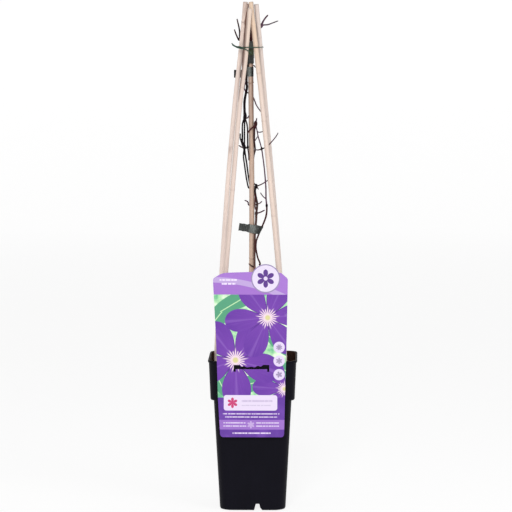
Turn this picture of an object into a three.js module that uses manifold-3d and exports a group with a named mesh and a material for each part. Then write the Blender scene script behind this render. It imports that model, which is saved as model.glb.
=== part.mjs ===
// A young climbing plant in its square nursery pot: black tapered pot, compost, four pale bamboo sticks
// drawn together as a pyramid, a brown centre cane with the bare winter vine twined round it, three tape
// ties, one wire tie and a printed hang label hooked over the rim.
// Millimetres, +Z up. The origin is the middle of the pot's footprint, and the front (label) faces -Y.
import * as THREE from "three";
import { mergeVertices } from "three/addons/utils/BufferGeometryUtils.js";
import Module from "manifold-3d";

const wasm = await Module();
wasm.setup();

// ---------------------------------------------------------------- driving dimensions
const POT_HEIGHT = 200;
const RIM_HALF = 58.7; // half of the pot's outside width at the lip
const COLLAR_TOP_HALF = 57.4; // just under the lip
const COLLAR_FOOT_HALF = 55.4;
const BODY_TOP_HALF = 51.2; // where the collar steps in
const BODY_FOOT_HALF = 43.4;
const COLLAR_HEIGHT = 52;
const LIP_HEIGHT = 2.8;
const WALL = 1.4;
const CORNER_RADIUS = 14; // of the pot's plan, at its outside
const CORNER_STEPS = 5;

const CHANNEL_HEIGHT = 9; // drainage channel under the base, seen as a notch in each wall
const DRAIN_HOLE_RADIUS = 4.5;
const DRAIN_HOLE_PLACE = 28;

const GAP = 0.3; // between pieces that touch
const SOIL_TOP = 186;
const SOIL_ROUGHNESS = 1.6;

const STICK_RADIUS = 3.15;
const CANE_RADIUS = 3.45;

const TAPE_THICKNESS = 0.8;
const WIRE_RADIUS = 0.6;

const LABEL_THICKNESS = 0.7;
const LABEL_LEAN = THREE.MathUtils.degToRad(1.2); // its top leans out to the front
const LABEL_BOTTOM = -100; // heights on the label are from the rim

// ---------------------------------------------------------------- materials
function finish(color, roughness, metalness = 0) {
  return new THREE.MeshStandardMaterial({ color, roughness, metalness });
}
const BLACK_PLASTIC = finish(0x1b1a20, 0.55);
const COMPOST = finish(0x3a2b20, 1);
const PALE_BAMBOO = finish(0xe8d0be, 0.6);
const BROWN_BAMBOO = finish(0xb8947c, 0.55);
const VINE_BARK = finish(0x4a3236, 0.85);
const GREEN_TAPE = finish(0x4c5a45, 0.4);
const GREEN_WIRE = finish(0x2f5a44, 0.4);
const PRINTED_PLASTIC = finish(0x7b49b0, 0.35);

// ---------------------------------------------------------------- shape helpers
const at = (x, y, z) => new THREE.Vector3(x, y, z);

// A closed body through a row of rings with equally many points, each counter-clockwise seen from ahead.
// A hoop's last ring joins its first, and any other row is capped at both ends.
function loft(rings, isHoop = false) {
  const sides = rings[0].length;
  const points = rings.flat();
  const faces = [];
  for (let ring = 0; ring < rings.length - (isHoop ? 0 : 1); ring++) {
    const next = (ring + 1) % rings.length;
    for (let side = 0; side < sides; side++) {
      const beside = (side + 1) % sides;
      const [here, besideHere] = [ring * sides + side, ring * sides + beside];
      const [ahead, besideAhead] = [next * sides + side, next * sides + beside];
      faces.push(here, besideHere, besideAhead, here, besideAhead, ahead);
    }
  }
  for (const ring of isHoop ? [] : [0, rings.length - 1]) {
    const centre = new THREE.Vector3();
    rings[ring].forEach((point) => centre.addScaledVector(point, 1 / sides));
    points.push(centre);
    for (let side = 0; side < sides; side++) {
      const here = ring * sides + side;
      const beside = ring * sides + ((side + 1) % sides);
      faces.push(points.length - 1, ...(ring === 0 ? [beside, here] : [here, beside]));
    }
  }
  return new THREE.BufferGeometry().setFromPoints(points).setIndex(faces);
}

// A ring of points round a curve, its first point on the side of a reference direction.
function ringRound(curve, station, reference, radius, sides) {
  const centre = curve.getPointAt(station);
  const ahead = curve.getTangentAt(station);
  const across = reference.clone().addScaledVector(ahead, -ahead.dot(reference)).normalize();
  const other = ahead.clone().cross(across);
  return Array.from({ length: sides }, (_, side) => {
    const angle = (2 * Math.PI * side) / sides;
    const point = centre.clone().addScaledVector(across, radius * Math.cos(angle));
    return point.addScaledVector(other, radius * Math.sin(angle));
  });
}

// A round rod along a smooth curve through the points. stations run from 0 to 1 along its length.
// Its rings are squared up to the front-to-back direction, which no rod here runs along.
const BACKWARD = at(0, 1, 0);
const UPWARD = at(0, 0, 1);
function rod(points, stations, radiusAt, sides) {
  const curve = new THREE.CatmullRomCurve3(points, false, "centripetal");
  return loft(stations.map((station) => ringRound(curve, station, BACKWARD, radiusAt(station), sides)));
}

const evenStations = (count) => Array.from({ length: count + 1 }, (_, i) => i / count);

function solidOf(geometry) {
  const bare = geometry.clone();
  bare.deleteAttribute("normal");
  bare.deleteAttribute("uv");
  const merged = mergeVertices(bare, 1e-3);
  return new wasm.Manifold(
    new wasm.Mesh({
      numProp: 3,
      vertProperties: merged.attributes.position.array,
      triVerts: new Uint32Array(merged.index.array),
    }),
  );
}

function geometryOf(solid) {
  const { vertProperties, triVerts } = solid.getMesh();
  const geometry = new THREE.BufferGeometry();
  geometry.setAttribute("position", new THREE.BufferAttribute(vertProperties, 3));
  geometry.setIndex(new THREE.BufferAttribute(triVerts, 1));
  return geometry;
}

const joined = (geometries) => geometries.map(solidOf).reduce((whole, piece) => whole.add(piece));

function piece(name, geometry, material) {
  const mesh = new THREE.Mesh(geometry, material);
  mesh.name = name;
  return mesh;
}

// A flat outline, given as [across, up] pairs, made into a shape.
const shapeOf = (outline) => new THREE.Shape(outline.map(([u, v]) => new THREE.Vector2(u, v)));
const slab = (shape, depth) =>
  new THREE.ExtrudeGeometry(shape, { depth, bevelEnabled: false, curveSegments: 16 });

// ---------------------------------------------------------------- pot
function squareRing(half, height, corner = CORNER_RADIUS) {
  const ring = [];
  for (let quarter = 0; quarter < 4; quarter++) {
    const middle = (quarter + 0.5) * (Math.PI / 2);
    const centreX = Math.sign(Math.cos(middle)) * (half - corner);
    const centreY = Math.sign(Math.sin(middle)) * (half - corner);
    for (let step = 0; step <= CORNER_STEPS; step++) {
      const angle = (quarter + step / CORNER_STEPS) * (Math.PI / 2);
      ring.push(at(centreX + corner * Math.cos(angle), centreY + corner * Math.sin(angle), height));
    }
  }
  return ring;
}

const COLLAR_FOOT = POT_HEIGHT - COLLAR_HEIGHT;
const POT_OUTSIDE = [
  [BODY_FOOT_HALF - 2.8, 0],
  [BODY_FOOT_HALF - 0.8, 0.9],
  [BODY_FOOT_HALF, 3],
  [BODY_TOP_HALF, COLLAR_FOOT - 1],
  [COLLAR_FOOT_HALF - 0.8, COLLAR_FOOT - 0.6],
  [COLLAR_FOOT_HALF, COLLAR_FOOT + 0.8],
  [COLLAR_TOP_HALF, POT_HEIGHT - LIP_HEIGHT - 0.4],
  [RIM_HALF - 0.3, POT_HEIGHT - LIP_HEIGHT + 0.1],
  [RIM_HALF, POT_HEIGHT - 0.9],
  [RIM_HALF - 0.6, POT_HEIGHT],
];
const POT_INSIDE = [
  [COLLAR_TOP_HALF - WALL + 0.6, POT_HEIGHT],
  [COLLAR_TOP_HALF - WALL, POT_HEIGHT - 1],
  [COLLAR_FOOT_HALF - WALL, COLLAR_FOOT + 2],
  [BODY_TOP_HALF - WALL, COLLAR_FOOT + 0.6],
  [BODY_FOOT_HALF - WALL, 3.4],
  [BODY_FOOT_HALF - WALL - 1.6, WALL],
];
const CHANNEL_OUTLINE = [
  [1.9, -1],
  [1.9, 0],
  [3.9, 7.8],
  [4.7, CHANNEL_HEIGHT],
  [8.5, CHANNEL_HEIGHT],
  [9.2, 8],
  [9.8, 4.2],
  [13.1, 0],
  [13.1, -1],
];
const CHANNEL_MIDDLE = 7;

// The channel's section, grown on all sides and run along Y from -reach to +reach.
function channelBar(growth, reach) {
  const outline = CHANNEL_OUTLINE.map(([u, v]) => [
    u + growth * Math.sign(u - CHANNEL_MIDDLE),
    v > 0 ? v + growth * (v / CHANNEL_HEIGHT) : v,
  ]);
  const bar = slab(shapeOf(outline.reverse()), 2 * reach);
  return solidOf(bar.rotateX(Math.PI / 2).translate(0, reach, 0));
}
const channelCross = (growth, reach) =>
  channelBar(growth, reach).add(channelBar(growth, reach).rotate([0, 0, 90]));

function makePot() {
  const profile = [...POT_OUTSIDE, ...POT_INSIDE];
  const shell = solidOf(loft(profile.map(([half, height]) => squareRing(half, height))));
  const base = solidOf(new THREE.BoxGeometry(300, 300, POT_HEIGHT).translate(0, 0, POT_HEIGHT / 2 + 0.5));
  const ridges = channelCross(WALL, BODY_FOOT_HALF - WALL / 2).intersect(base);
  let pot = shell.add(ridges).subtract(channelCross(0, 2 * RIM_HALF));
  for (const x of [-DRAIN_HOLE_PLACE, DRAIN_HOLE_PLACE]) {
    for (const y of [-DRAIN_HOLE_PLACE, DRAIN_HOLE_PLACE]) {
      const hole = new THREE.CylinderGeometry(DRAIN_HOLE_RADIUS, DRAIN_HOLE_RADIUS, 6, 16);
      pot = pot.subtract(solidOf(hole.rotateX(Math.PI / 2).translate(x, y, 0)));
    }
  }
  return geometryOf(pot);
}

// ---------------------------------------------------------------- sticks and cane
// Each route runs from the foot in the compost to the top, nearly straight but bowed in by the tie.
const STICKS = {
  stick_front_left: {
    route: [at(-44.8, -42.6, 154), at(-43.8, -42, 200), at(-34.2, -34.5, 328), at(-25.7, -26.4, 435),
      at(-16.5, -19, 540), at(-10.1, -15, 592), at(-6.8, -12.6, 630), at(-4, -10.6, 659.4)],
    nodes: [120, 270, 405],
  },
  stick_front_right: {
    route: [at(43.4, -42, 154), at(42.2, -41.4, 200), at(33.3, -33.9, 324), at(11.6, -14.6, 540),
      at(5.7, -10.3, 592), at(-2.9, -2.8, 668.2)],
    nodes: [95, 236, 361, 424],
  },
  stick_back_left: {
    route: [at(-49.8, 40.6, 154), at(-49.8, 40, 200), at(-41.7, 31, 322), at(-33.6, 22.5, 433),
      at(-23.8, 14.5, 539), at(-17.7, 10.6, 592), at(-12.6, 7, 640), at(-10.1, 4.9, 668.2)],
    nodes: [150, 325, 496],
  },
  stick_back_right: {
    route: [at(41.8, 39, 154), at(40.8, 37.6, 205), at(34.8, 31.4, 314), at(10.6, 9.6, 593),
      at(4.2, 4.2, 665.2)],
    nodes: [110, 245, 366, 470],
  },
};
const CANE_ROUTE = [at(-1.8, 0, 62), at(-2, 0, 300), at(-1.7, 0, 420), at(-2.3, 0, 490), at(-3.5, 0, 612)];
const CANE_NODES = [92, 268, 394, 500];

// A bamboo rod whose nodes, given in millimetres from its foot, stand a little proud.
function bamboo(route, radius, nodes, growth = 0) {
  const length = new THREE.CatmullRomCurve3(route, false, "centripetal").getLength();
  const places = new Set([0, 0.8, length - 0.8, length]);
  for (let place = 45; place < length - 20; place += 45) places.add(place);
  for (const node of nodes) [-3.5, 0, 3.5].forEach((offset) => places.add(node + offset));
  const stations = [...places].sort((a, b) => a - b).map((place) => place / length);
  const radiusAt = (station) => {
    const place = station * length;
    const atEnd = place < 0.4 || place > length - 0.4 ? 0.5 : 0;
    const atNode = nodes.some((node) => Math.abs(node - place) < 1) ? 0.45 : 0;
    return radius - atEnd + atNode + growth;
  };
  return rod(route, stations, radiusAt, 10);
}

// ---------------------------------------------------------------- vine
// Every strand is a list of points with the thickness at its start and end. A branch starts on the
// centre line of the strand that it grows from.
const TENDRIL_NODE = at(2, -5.4, 318);
const LOW_NODE = at(4.2, -3, 389.8);
const MAIN_BEND = at(5.4, -2.6, 402);
const MID_NODE = at(4.2, -2.6, 425.8);
const LEFT_NODE = at(-11.6, -2, 477.4);
const CANE_SIDE_NODE = at(-7, -4.4, 477.6);
const LEFT_FAN = at(-11.1, -2.4, 516.5);
const LEFT_RISE = at(-9.4, -2.2, 549);
const RIGHT_NODE = at(3.4, -3.4, 508.4);
const LOOP_FORK = at(11.3, -3.2, 475.2);
const LOOP_NODE = at(18, -4, 400.4);
const TOP_FORK = at(-4.4, -1.5, 622);
const TOP_RIGHT_NODE = at(11.2, 13.4, 637.5);
const TOP_LEFT_NODE = at(-17.8, 13.4, 624);

const STRANDS = [
  // main stem, from the compost up the front right of the cane
  { from: 3.2, to: 2.8, route: [at(6.2, -9, 150), at(5.2, -8, 190), at(3.8, -6.2, 235),
    at(2.6, -5.6, 288), TENDRIL_NODE, at(1.9, -5, 340), at(2.2, -4.8, 358), at(3.2, -4.4, 372),
    at(4.1, -3.8, 382), LOW_NODE] },
  { from: 2.7, to: 2.5, route: [LOW_NODE, at(5, -2.8, 396), MAIN_BEND, at(4.2, -2.5, 409),
    at(3, -2.7, 415.6), at(2.6, -3, 421), MID_NODE] },
  { from: 1.6, to: 1.5, route: [at(4.6, -2.8, 393), at(2.9, -3.8, 397), at(2.6, -4, 404),
    at(2.9, -3.4, 416)] },
  // a second, thinner stem from the compost, behind the label
  { from: 2.5, to: 1.9, route: [at(-7.5, -8.5, 158), at(-7, -7.5, 190), at(-5.2, -6.6, 240),
    at(-3, -6.4, 276), at(0, -6.2, 300), TENDRIL_NODE] },
  // round the back of the cane to the left, in two strands
  { from: 2, to: 1.9, route: [MID_NODE, at(3.8, 2, 425.4), at(1.4, 5.1, 424.4), at(-2, 5.9, 422.6),
    at(-5.5, 4.8, 423), at(-8, 2.4, 434), at(-9.4, 1, 444.5), at(-11.1, 0, 455), at(-12.7, -1, 466),
    LEFT_NODE] },
  { from: 1.8, to: 1.8, route: [at(-2, 5.9, 422.6), at(-4.2, 5.6, 428), at(-5.4, 4.9, 436.3),
    at(-6.3, 4, 444.4), at(-7.7, 2, 455), at(-9.6, -0.4, 466), LEFT_NODE] },
  // up the left side in three strands
  { from: 2.3, to: 2, route: [LEFT_NODE, at(-13.7, -2.2, 482), at(-14.1, -2.2, 495),
    at(-13.8, -2.2, 509), LEFT_FAN] },
  { from: 2.1, to: 1.9, route: [LEFT_NODE, at(-11.3, -3, 486), at(-11.3, -3.2, 504), LEFT_FAN] },
  { from: 1.4, to: 2.1, route: [at(-5.7, -2.8, 460), at(-5.8, -3.8, 467), at(-6.6, -4.4, 474.5),
    CANE_SIDE_NODE] },
  { from: 2.1, to: 2, route: [CANE_SIDE_NODE, at(-7.2, -4.4, 494), at(-7.4, -4.5, 503), at(-8.6, -4, 510),
    LEFT_FAN] },
  { from: 2, to: 2, route: [LEFT_NODE, at(-9.4, -3.2, 476.4), CANE_SIDE_NODE] },
  { from: 1.7, to: 2, route: [at(-7.2, -4.4, 495.6), at(-5.4, -5.2, 498.8), at(-1.8, -5.8, 502.6),
    at(1.4, -5.2, 505.4), RIGHT_NODE] },
  { from: 3, to: 2.4, route: [LEFT_FAN, at(-11.2, -2, 524), at(-11.3, -2, 537), LEFT_RISE,
    at(-8.1, -2.6, 556), at(-8.7, -2.8, 564.5), at(-8.4, -3.1, 572), at(-7.6, -3.3, 582),
    at(-7.3, -3.4, 586), at(-6.2, -4.4, 595), at(-5.4, -4.9, 606), at(-4.9, -4.2, 616), TOP_FORK] },
  { from: 2, to: 1.8, route: [at(-12.6, -2.4, 511), at(-9.8, -3.4, 514.6), at(-9.2, -2.8, 519),
    at(-11.2, -2, 526)] },
  // a slack loop beside the cane, under the middle tape
  { from: 1.8, to: 1.7, route: [LEFT_RISE, at(-11.4, -3, 554), at(-11, -3.4, 560), at(-8.7, -2.8, 565.5)] },
  // down the right edge of the cane and behind it
  { from: 2, to: 1.7, route: [RIGHT_NODE, at(2, -3.8, 502), at(1.6, -3.8, 494), at(1.6, -3.6, 485),
    at(2.4, -1.6, 478), at(2.5, 1.5, 473), at(0.8, 4.8, 466), at(-0.2, 5.3, 450), at(0.4, 5.3, 437),
    at(0.2, 5.2, 431), at(3.2, 2.6, 427.4), MID_NODE] },
  // the long slack loop on the right, down through the lower tape to its curled tip
  { from: 1.7, to: 2.1, route: [RIGHT_NODE, at(5.4, -3.3, 498.2), at(6.6, -3.2, 492),
    at(8.9, -3.2, 484.3), LOOP_FORK, at(12.7, -3.2, 466), at(14.6, -3.2, 451.4), at(16, -3.4, 436.8),
    at(16.9, -3.6, 423.6), at(17.1, -3.8, 410.4), LOOP_NODE] },
  { from: 2.3, to: 1.8, route: [LOOP_NODE, at(18.1, -4.2, 394), at(17.2, -4.8, 386.7),
    at(14.6, -5.7, 379), at(10.7, -6.6, 370), at(6.9, -6.9, 361), at(4.4, -7.9, 353.8),
    at(3.8, -8.2, 345.5), at(4.9, -7.9, 337.5), at(6.6, -7.6, 330.4), at(8.6, -7.4, 326),
    at(9.3, -7.3, 323.4), at(8.4, -7.2, 321.4)] },
  // the cut end of the old stem, on top of the cane in the gap between the front sticks
  { from: 4, to: 3.4, route: [at(-3.5, -1.3, 613.4), at(-3.3, -1.5, 624), at(-3, -1.2, 634),
    at(-2.9, -0.7, 643)] },
  // a dry shoot up the gap between the two left sticks
  { from: 1.5, to: 2, route: [at(-8.7, -2.8, 565.5), at(-11.5, -2.6, 569), at(-13.4, -2.4, 576),
    at(-13.9, -2.2, 588), at(-12.9, -2.2, 600), at(-11.5, -2.4, 611), at(-11.4, -2.6, 620)] },
  { from: 2, to: 1.5, route: [at(-11.4, -2.6, 620), at(-11.3, -2.7, 624), at(-10.5, -2.8, 631),
    at(-10, -3, 640), at(-9, -2.9, 650), at(-7.3, -2, 658), at(-6.4, -1.4, 662), at(-6.8, -1.2, 666)] },
  // top right: out between the back sticks to a fork beyond the right-hand one
  { from: 2.2, to: 2.3, route: [TOP_FORK, at(-3.4, 3.4, 626), at(-1.4, 9.6, 629.5), at(4.6, 13.4, 632),
    at(9.2, 14, 634), TOP_RIGHT_NODE] },
  { from: 2.2, to: 1.6, route: [TOP_RIGHT_NODE, at(12.4, 13.4, 641.5), at(15.4, 13, 646.4),
    at(19.3, 12.4, 651)] },
  { from: 2, to: 1.4, route: [TOP_RIGHT_NODE, at(14.6, 13.2, 638), at(19.4, 12.8, 638.4),
    at(26, 12.2, 640.8), at(33, 11.6, 643.4)] },
  // top left: two twigs from behind the left-hand stick
  { from: 2.1, to: 2, route: [TOP_FORK, at(-6, 4.4, 624), at(-8.6, 11.8, 624), at(-12.6, 14.4, 624),
    TOP_LEFT_NODE] },
  { from: 1.9, to: 1.4, route: [TOP_LEFT_NODE, at(-18, 12.6, 629), at(-18.9, 11.6, 635),
    at(-21.4, 10, 646)] },
  { from: 1.9, to: 1.4, route: [TOP_LEFT_NODE, at(-18.4, 14, 619.6), at(-19, 14, 617.6),
    at(-20, 13.4, 619.6), at(-22.8, 11.6, 626), at(-24.9, 10, 632)] },
  // side twigs and leaf stalk stubs, from the top down
  { from: 1.6, to: 1.4, route: [at(-7.4, -3.3, 586), at(-8, 1, 586), at(-5.5, 4.8, 585.8),
    at(-1, 4.6, 585.2), at(1.6, 2.4, 584.4), at(2.6, 0.6, 583), at(4.2, -0.6, 582.2)] },
  { from: 1.7, to: 1.4, route: [LEFT_RISE, at(-7.2, 3.2, 549), at(-3.4, 5.2, 547), at(0, 4.3, 543),
    at(2, 1.6, 538.5), at(4.5, -2, 532.5), at(10.4, -4, 524)] },
  { from: 1.8, to: 1.5, route: [LEFT_FAN, at(-7.8, -3.8, 515.8), at(-5.2, -5.4, 519.3)] },
  { from: 1.8, to: 1.5, route: [RIGHT_NODE, at(4.2, -3.5, 512), at(4.9, -3.7, 516.2)] },
  { from: 2.1, to: 1.6, route: [LEFT_NODE, at(-13.8, -2.2, 479.6), at(-15.4, -2.2, 484.5),
    at(-17, -2.2, 489.5), at(-16.9, -2.2, 495.5)] },
  { from: 1.8, to: 1.4, route: [LEFT_NODE, at(-15, -2, 477.4), at(-19, -2, 480)] },
  { from: 1.6, to: 1.4, route: [at(5.4, -3.3, 498.2), at(8, -4.4, 497.2), at(14, -5.2, 498.5)] },
  { from: 1.4, to: 1.2, route: [at(6.6, -3.2, 492), at(4.9, -4.6, 490), at(2.6, -5.4, 485.6)] },
  { from: 1.7, to: 1.4, route: [LOOP_FORK, at(7, -4, 473.9), at(2.4, -4.6, 474.2)] },
  { from: 1.7, to: 1.3, route: [LOOP_FORK, at(15.4, -2.6, 476.8), at(22.4, -1.4, 482.3), at(31.2, 0, 493),
    at(33, 0, 496.6)] },
  { from: 1.9, to: 1.4, route: [MID_NODE, at(10.4, -3.4, 428.2), at(16.2, -3.4, 431.6),
    at(20.8, -4.6, 434.9)] },
  { from: 1.7, to: 1.4, route: [MID_NODE, at(6.2, -2.8, 423.4), at(7.2, -3, 421.4)] },
  { from: 1.7, to: 1.4, route: [at(17.1, -3.8, 409), at(13.1, -3.4, 412.6), at(9.5, -3, 417.6)] },
  { from: 1.7, to: 1.4, route: [MAIN_BEND, at(9.1, -3.2, 403.6), at(11.8, -3.4, 406.4)] },
  { from: 1.8, to: 1.4, route: [LOW_NODE, at(10.4, -4.2, 391.9), at(15.4, -4.8, 394.6)] },
  { from: 1.7, to: 1.4, route: [MAIN_BEND, at(4.2, 2.4, 401.4), at(-0.4, 5.5, 400), at(-4.2, 4.4, 399.8),
    at(-6.2, 2.2, 401.4), at(-7, 0.8, 405), at(-11.4, 0, 407.2)] },
  // a dry tendril across the front of the cane
  { from: 1.9, to: 1.5, route: [TENDRIL_NODE, at(0.4, -6, 319.6), at(-2.4, -5.9, 320.8),
    at(-5.8, -5.2, 323.6)] },
];
const SWELLINGS = [
  [LOW_NODE, 2.3], [MID_NODE, 2.3], [LEFT_NODE, 2.5], [LEFT_FAN, 2.1], [RIGHT_NODE, 2.4], [LOOP_NODE, 1.9],
  [LOOP_FORK, 1.7], [TOP_FORK, 1.9], [TOP_RIGHT_NODE, 2.2], [TOP_LEFT_NODE, 1.7], [CANE_SIDE_NODE, 1.8],
  [TENDRIL_NODE, 2.1],
];

// A strand as a rod, made thicker all round by an amount.
function strandRod({ from, to, route }, ringsPerSpan, growth = 0) {
  const radiusAt = (station) => (from + (to - from) * station) / 2 + growth;
  return rod(route, evenStations(Math.round(ringsPerSpan * (route.length - 1))), radiusAt, 6);
}

function swelling([centre, radius]) {
  const bead = new THREE.SphereGeometry(radius, 6, 5).rotateX(Math.PI / 2).scale(0.8, 0.8, 1.4);
  return bead.translate(centre.x, centre.y, centre.z);
}

const makeVine = () =>
  geometryOf(joined([...STRANDS.map((strand) => strandRod(strand, 1.5)), ...SWELLINGS.map(swelling)]));

// ---------------------------------------------------------------- compost
// The same route with its foot a little deeper, for the hole that a rod stands in.
const sunk = (route) => [route[0].clone().setZ(route[0].z - 1), ...route.slice(1)];

function makeCompost() {
  const side = POT_INSIDE.slice(2)
    .reverse()
    .map(([half, height]) => squareRing(half - GAP, height + GAP, CORNER_RADIUS - GAP));
  const lump = (x, y) =>
    SOIL_ROUGHNESS *
    (0.6 * Math.sin(0.21 * x + 1) * Math.cos(0.17 * y) + 0.4 * Math.sin(0.33 * y + 0.12 * x));
  const collarSlope = (COLLAR_TOP_HALF - COLLAR_FOOT_HALF) / (COLLAR_HEIGHT - LIP_HEIGHT);
  const edge = COLLAR_FOOT_HALF - WALL - GAP + collarSlope * (SOIL_TOP - COLLAR_FOOT - 4);
  const top = [1, 0.96, 0.8, 0.6, 0.4, 0.2].map((share) => {
    const height = SOIL_TOP + (share === 1 ? -2 : 0);
    const ring = squareRing(edge * share, height, (CORNER_RADIUS - GAP) * share);
    return ring.map((point) => point.setZ(point.z + lump(point.x, point.y)));
  });
  let soil = solidOf(loft([...side, ...top])).subtract(channelCross(WALL + GAP, 2 * RIM_HALF));
  for (const { route, nodes } of Object.values(STICKS)) {
    soil = soil.subtract(solidOf(bamboo(sunk(route), STICK_RADIUS, nodes, GAP)));
  }
  soil = soil.subtract(solidOf(bamboo(sunk(CANE_ROUTE), CANE_RADIUS, CANE_NODES, GAP)));
  for (const strand of STRANDS.filter(({ route }) => route[0].z < SOIL_TOP)) {
    soil = soil.subtract(solidOf(strandRod({ ...strand, route: sunk(strand.route) }, 1.5, GAP)));
  }
  return geometryOf(soil);
}

// ---------------------------------------------------------------- ties
// Where a rod's centre line crosses a height.
function crossing(route, height) {
  const curve = new THREE.CatmullRomCurve3(route, false, "centripetal");
  const points = curve.getSpacedPoints(400);
  const above = points.findIndex((point) => point.z > height);
  return [points[above].x, points[above].y];
}

// The outline of a band drawn tight round circles [x, y, radius], grown by an amount.
function bandOutline(circles, growth) {
  const points = [];
  for (const [x, y, radius] of circles) {
    for (let step = 0; step < 20; step++) {
      const angle = (2 * Math.PI * step) / 20;
      points.push([x + (radius + growth) * Math.cos(angle), y + (radius + growth) * Math.sin(angle)]);
    }
  }
  points.sort((a, b) => a[0] - b[0] || a[1] - b[1]);
  const half = (row) => {
    const chain = [];
    for (const p of row) {
      while (chain.length > 1) {
        const [a, b] = chain.slice(-2);
        if ((b[0] - a[0]) * (p[1] - a[1]) - (b[1] - a[1]) * (p[0] - a[0]) > 1e-6) break;
        chain.pop();
      }
      chain.push(p);
    }
    return chain.slice(0, -1);
  };
  return [...half(points), ...half([...points].reverse())];
}

// A tape band of a given height whose foot is at z = 0.
function tapeBand(circles, height, growth = 0) {
  const shape = shapeOf(bandOutline(circles, GAP + TAPE_THICKNESS + growth));
  shape.holes.push(new THREE.Path(bandOutline(circles, GAP).map(([u, v]) => new THREE.Vector2(u, v))));
  return slab(shape, height);
}

// Each tape's circles are the cane and the strands that it holds.
const TOP_TAPE = {
  foot: 587.5,
  height: 29.5,
  circles: [[-3.55, 0, 3.7], [-5.3, -4.8, 1.4], [-7, -3.6, 1.45]],
};
const MIDDLE_TAPE = {
  foot: 570.5,
  height: 12.5,
  circles: [[-3.45, 0, 3.7], [-7.95, -3.15, 1.75]],
};
const LOW_TAPE = {
  middle: 369.4,
  height: 11,
  lean: 9,
  circles: [[-1.9, 0, 4.8], [3.4, -4.4, 2.1], [9.8, -6.8, 1.1]],
};

const makeTopTape = () =>
  geometryOf(
    joined([
      tapeBand(TOP_TAPE.circles, TOP_TAPE.height).translate(0, 0, TOP_TAPE.foot),
      tapeBand(TOP_TAPE.circles, 13, 0.5).translate(0, 0, TOP_TAPE.foot + 9),
    ]),
  );

// The middle tape's tail runs back to the left and round behind the back left stick.
const MIDDLE_TAIL = {
  foot: 568.4,
  height: 10.6,
  route: [at(-7.5, 2.2, 0), at(-10, 7, 0), at(-13.4, 13.6, 0), at(-17.6, 16.6, 0), at(-25.6, 17.2, 0)],
};

// The plan of an upright strip along a curve, made up of its two sides.
function stripOutline(route, thickness) {
  const curve = new THREE.CatmullRomCurve3(route, false, "centripetal");
  const side = (sign) =>
    evenStations(12).map((station) => {
      const point = curve.getPointAt(station);
      const ahead = curve.getTangentAt(station);
      return [point.x - (sign * ahead.y * thickness) / 2, point.y + (sign * ahead.x * thickness) / 2];
    });
  return [...side(-1), ...side(1).reverse()];
}

function makeMiddleTape() {
  const { foot, height, route } = MIDDLE_TAIL;
  const tail = slab(shapeOf(stripOutline(route, TAPE_THICKNESS)), height).translate(0, 0, foot);
  const band = tapeBand(MIDDLE_TAPE.circles, MIDDLE_TAPE.height).translate(0, 0, MIDDLE_TAPE.foot);
  return geometryOf(joined([band, tail]));
}

// The lower tape's right end follows the slanting strand that it holds.
const END_PULL = { start: 5, run: 8, shift: 4.4 };

function makeLowTape() {
  const { circles, height, lean, middle } = LOW_TAPE;
  const tail = new THREE.BoxGeometry(13.4, 1.4, height - 1).translate(-12.4, -2.4, height / 2 + 0.4);
  const band = geometryOf(joined([tapeBand(circles, height), tail]));
  const places = band.getAttribute("position");
  for (let i = 0; i < places.count; i++) {
    const reach = Math.max(0, places.getX(i) - END_PULL.start) / END_PULL.run;
    places.setX(i, places.getX(i) + END_PULL.shift * reach * (places.getZ(i) / height - 0.5));
  }
  return band.translate(0, 0, -height / 2).rotateY(THREE.MathUtils.degToRad(lean)).translate(0, 0, middle);
}

const WIRE_LEVEL = 608.8;
function makeWireTie() {
  const circles = Object.values(STICKS).map(({ route }) => [...crossing(route, WIRE_LEVEL), STICK_RADIUS]);
  const outline = bandOutline(circles, 2 * GAP + WIRE_RADIUS).map(([x, y]) => at(x, y, WIRE_LEVEL));
  const loop = new THREE.CatmullRomCurve3(outline, true, "centripetal");
  const stations = evenStations(36).slice(0, -1);
  const hoop = loft(stations.map((station) => ringRound(loop, station, UPWARD, WIRE_RADIUS, 6)), true);
  const wire = (route, radius) => rod(route, evenStations(3 * (route.length - 1)), () => radius, 6);
  const twistRoute = [at(-21, -4.2, 609), at(-17.6, -9.6, 608.8), at(-13.2, -16, 607.6)];
  const twist = rod(twistRoute, evenStations(8), (station) => 1.9 - 1.9 * (station - 0.4) ** 2, 8);
  const tailRoute = [at(-20, -5.6, 609), at(-23.8, -3, 610.2), at(-27.3, -2, 612.6), at(-28.2, -2, 614)];
  const tail = wire(tailRoute, 1.5 * WIRE_RADIUS); // both ends side by side
  // one end dives between the two front sticks
  const bend = [at(-13.4, -15.8, 607.6), at(-9.9, -18.7, 606.2), at(-5, -17.8, 604), at(-3.1, -13.8, 602)];
  const diving = wire([...bend, at(-2.6, -10.8, 601)], WIRE_RADIUS);
  return geometryOf(joined([hoop, twist, tail, diving]));
}

// ---------------------------------------------------------------- label
const BADGE = { x: 17.4, height: 109.4, radius: 18.8 };
const SLOT = { left: -24.5, right: 22.2, top: -4.4, waist: -6.4, bottom: -10, legs: -13.4, legWidth: 2.8 };

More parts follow.
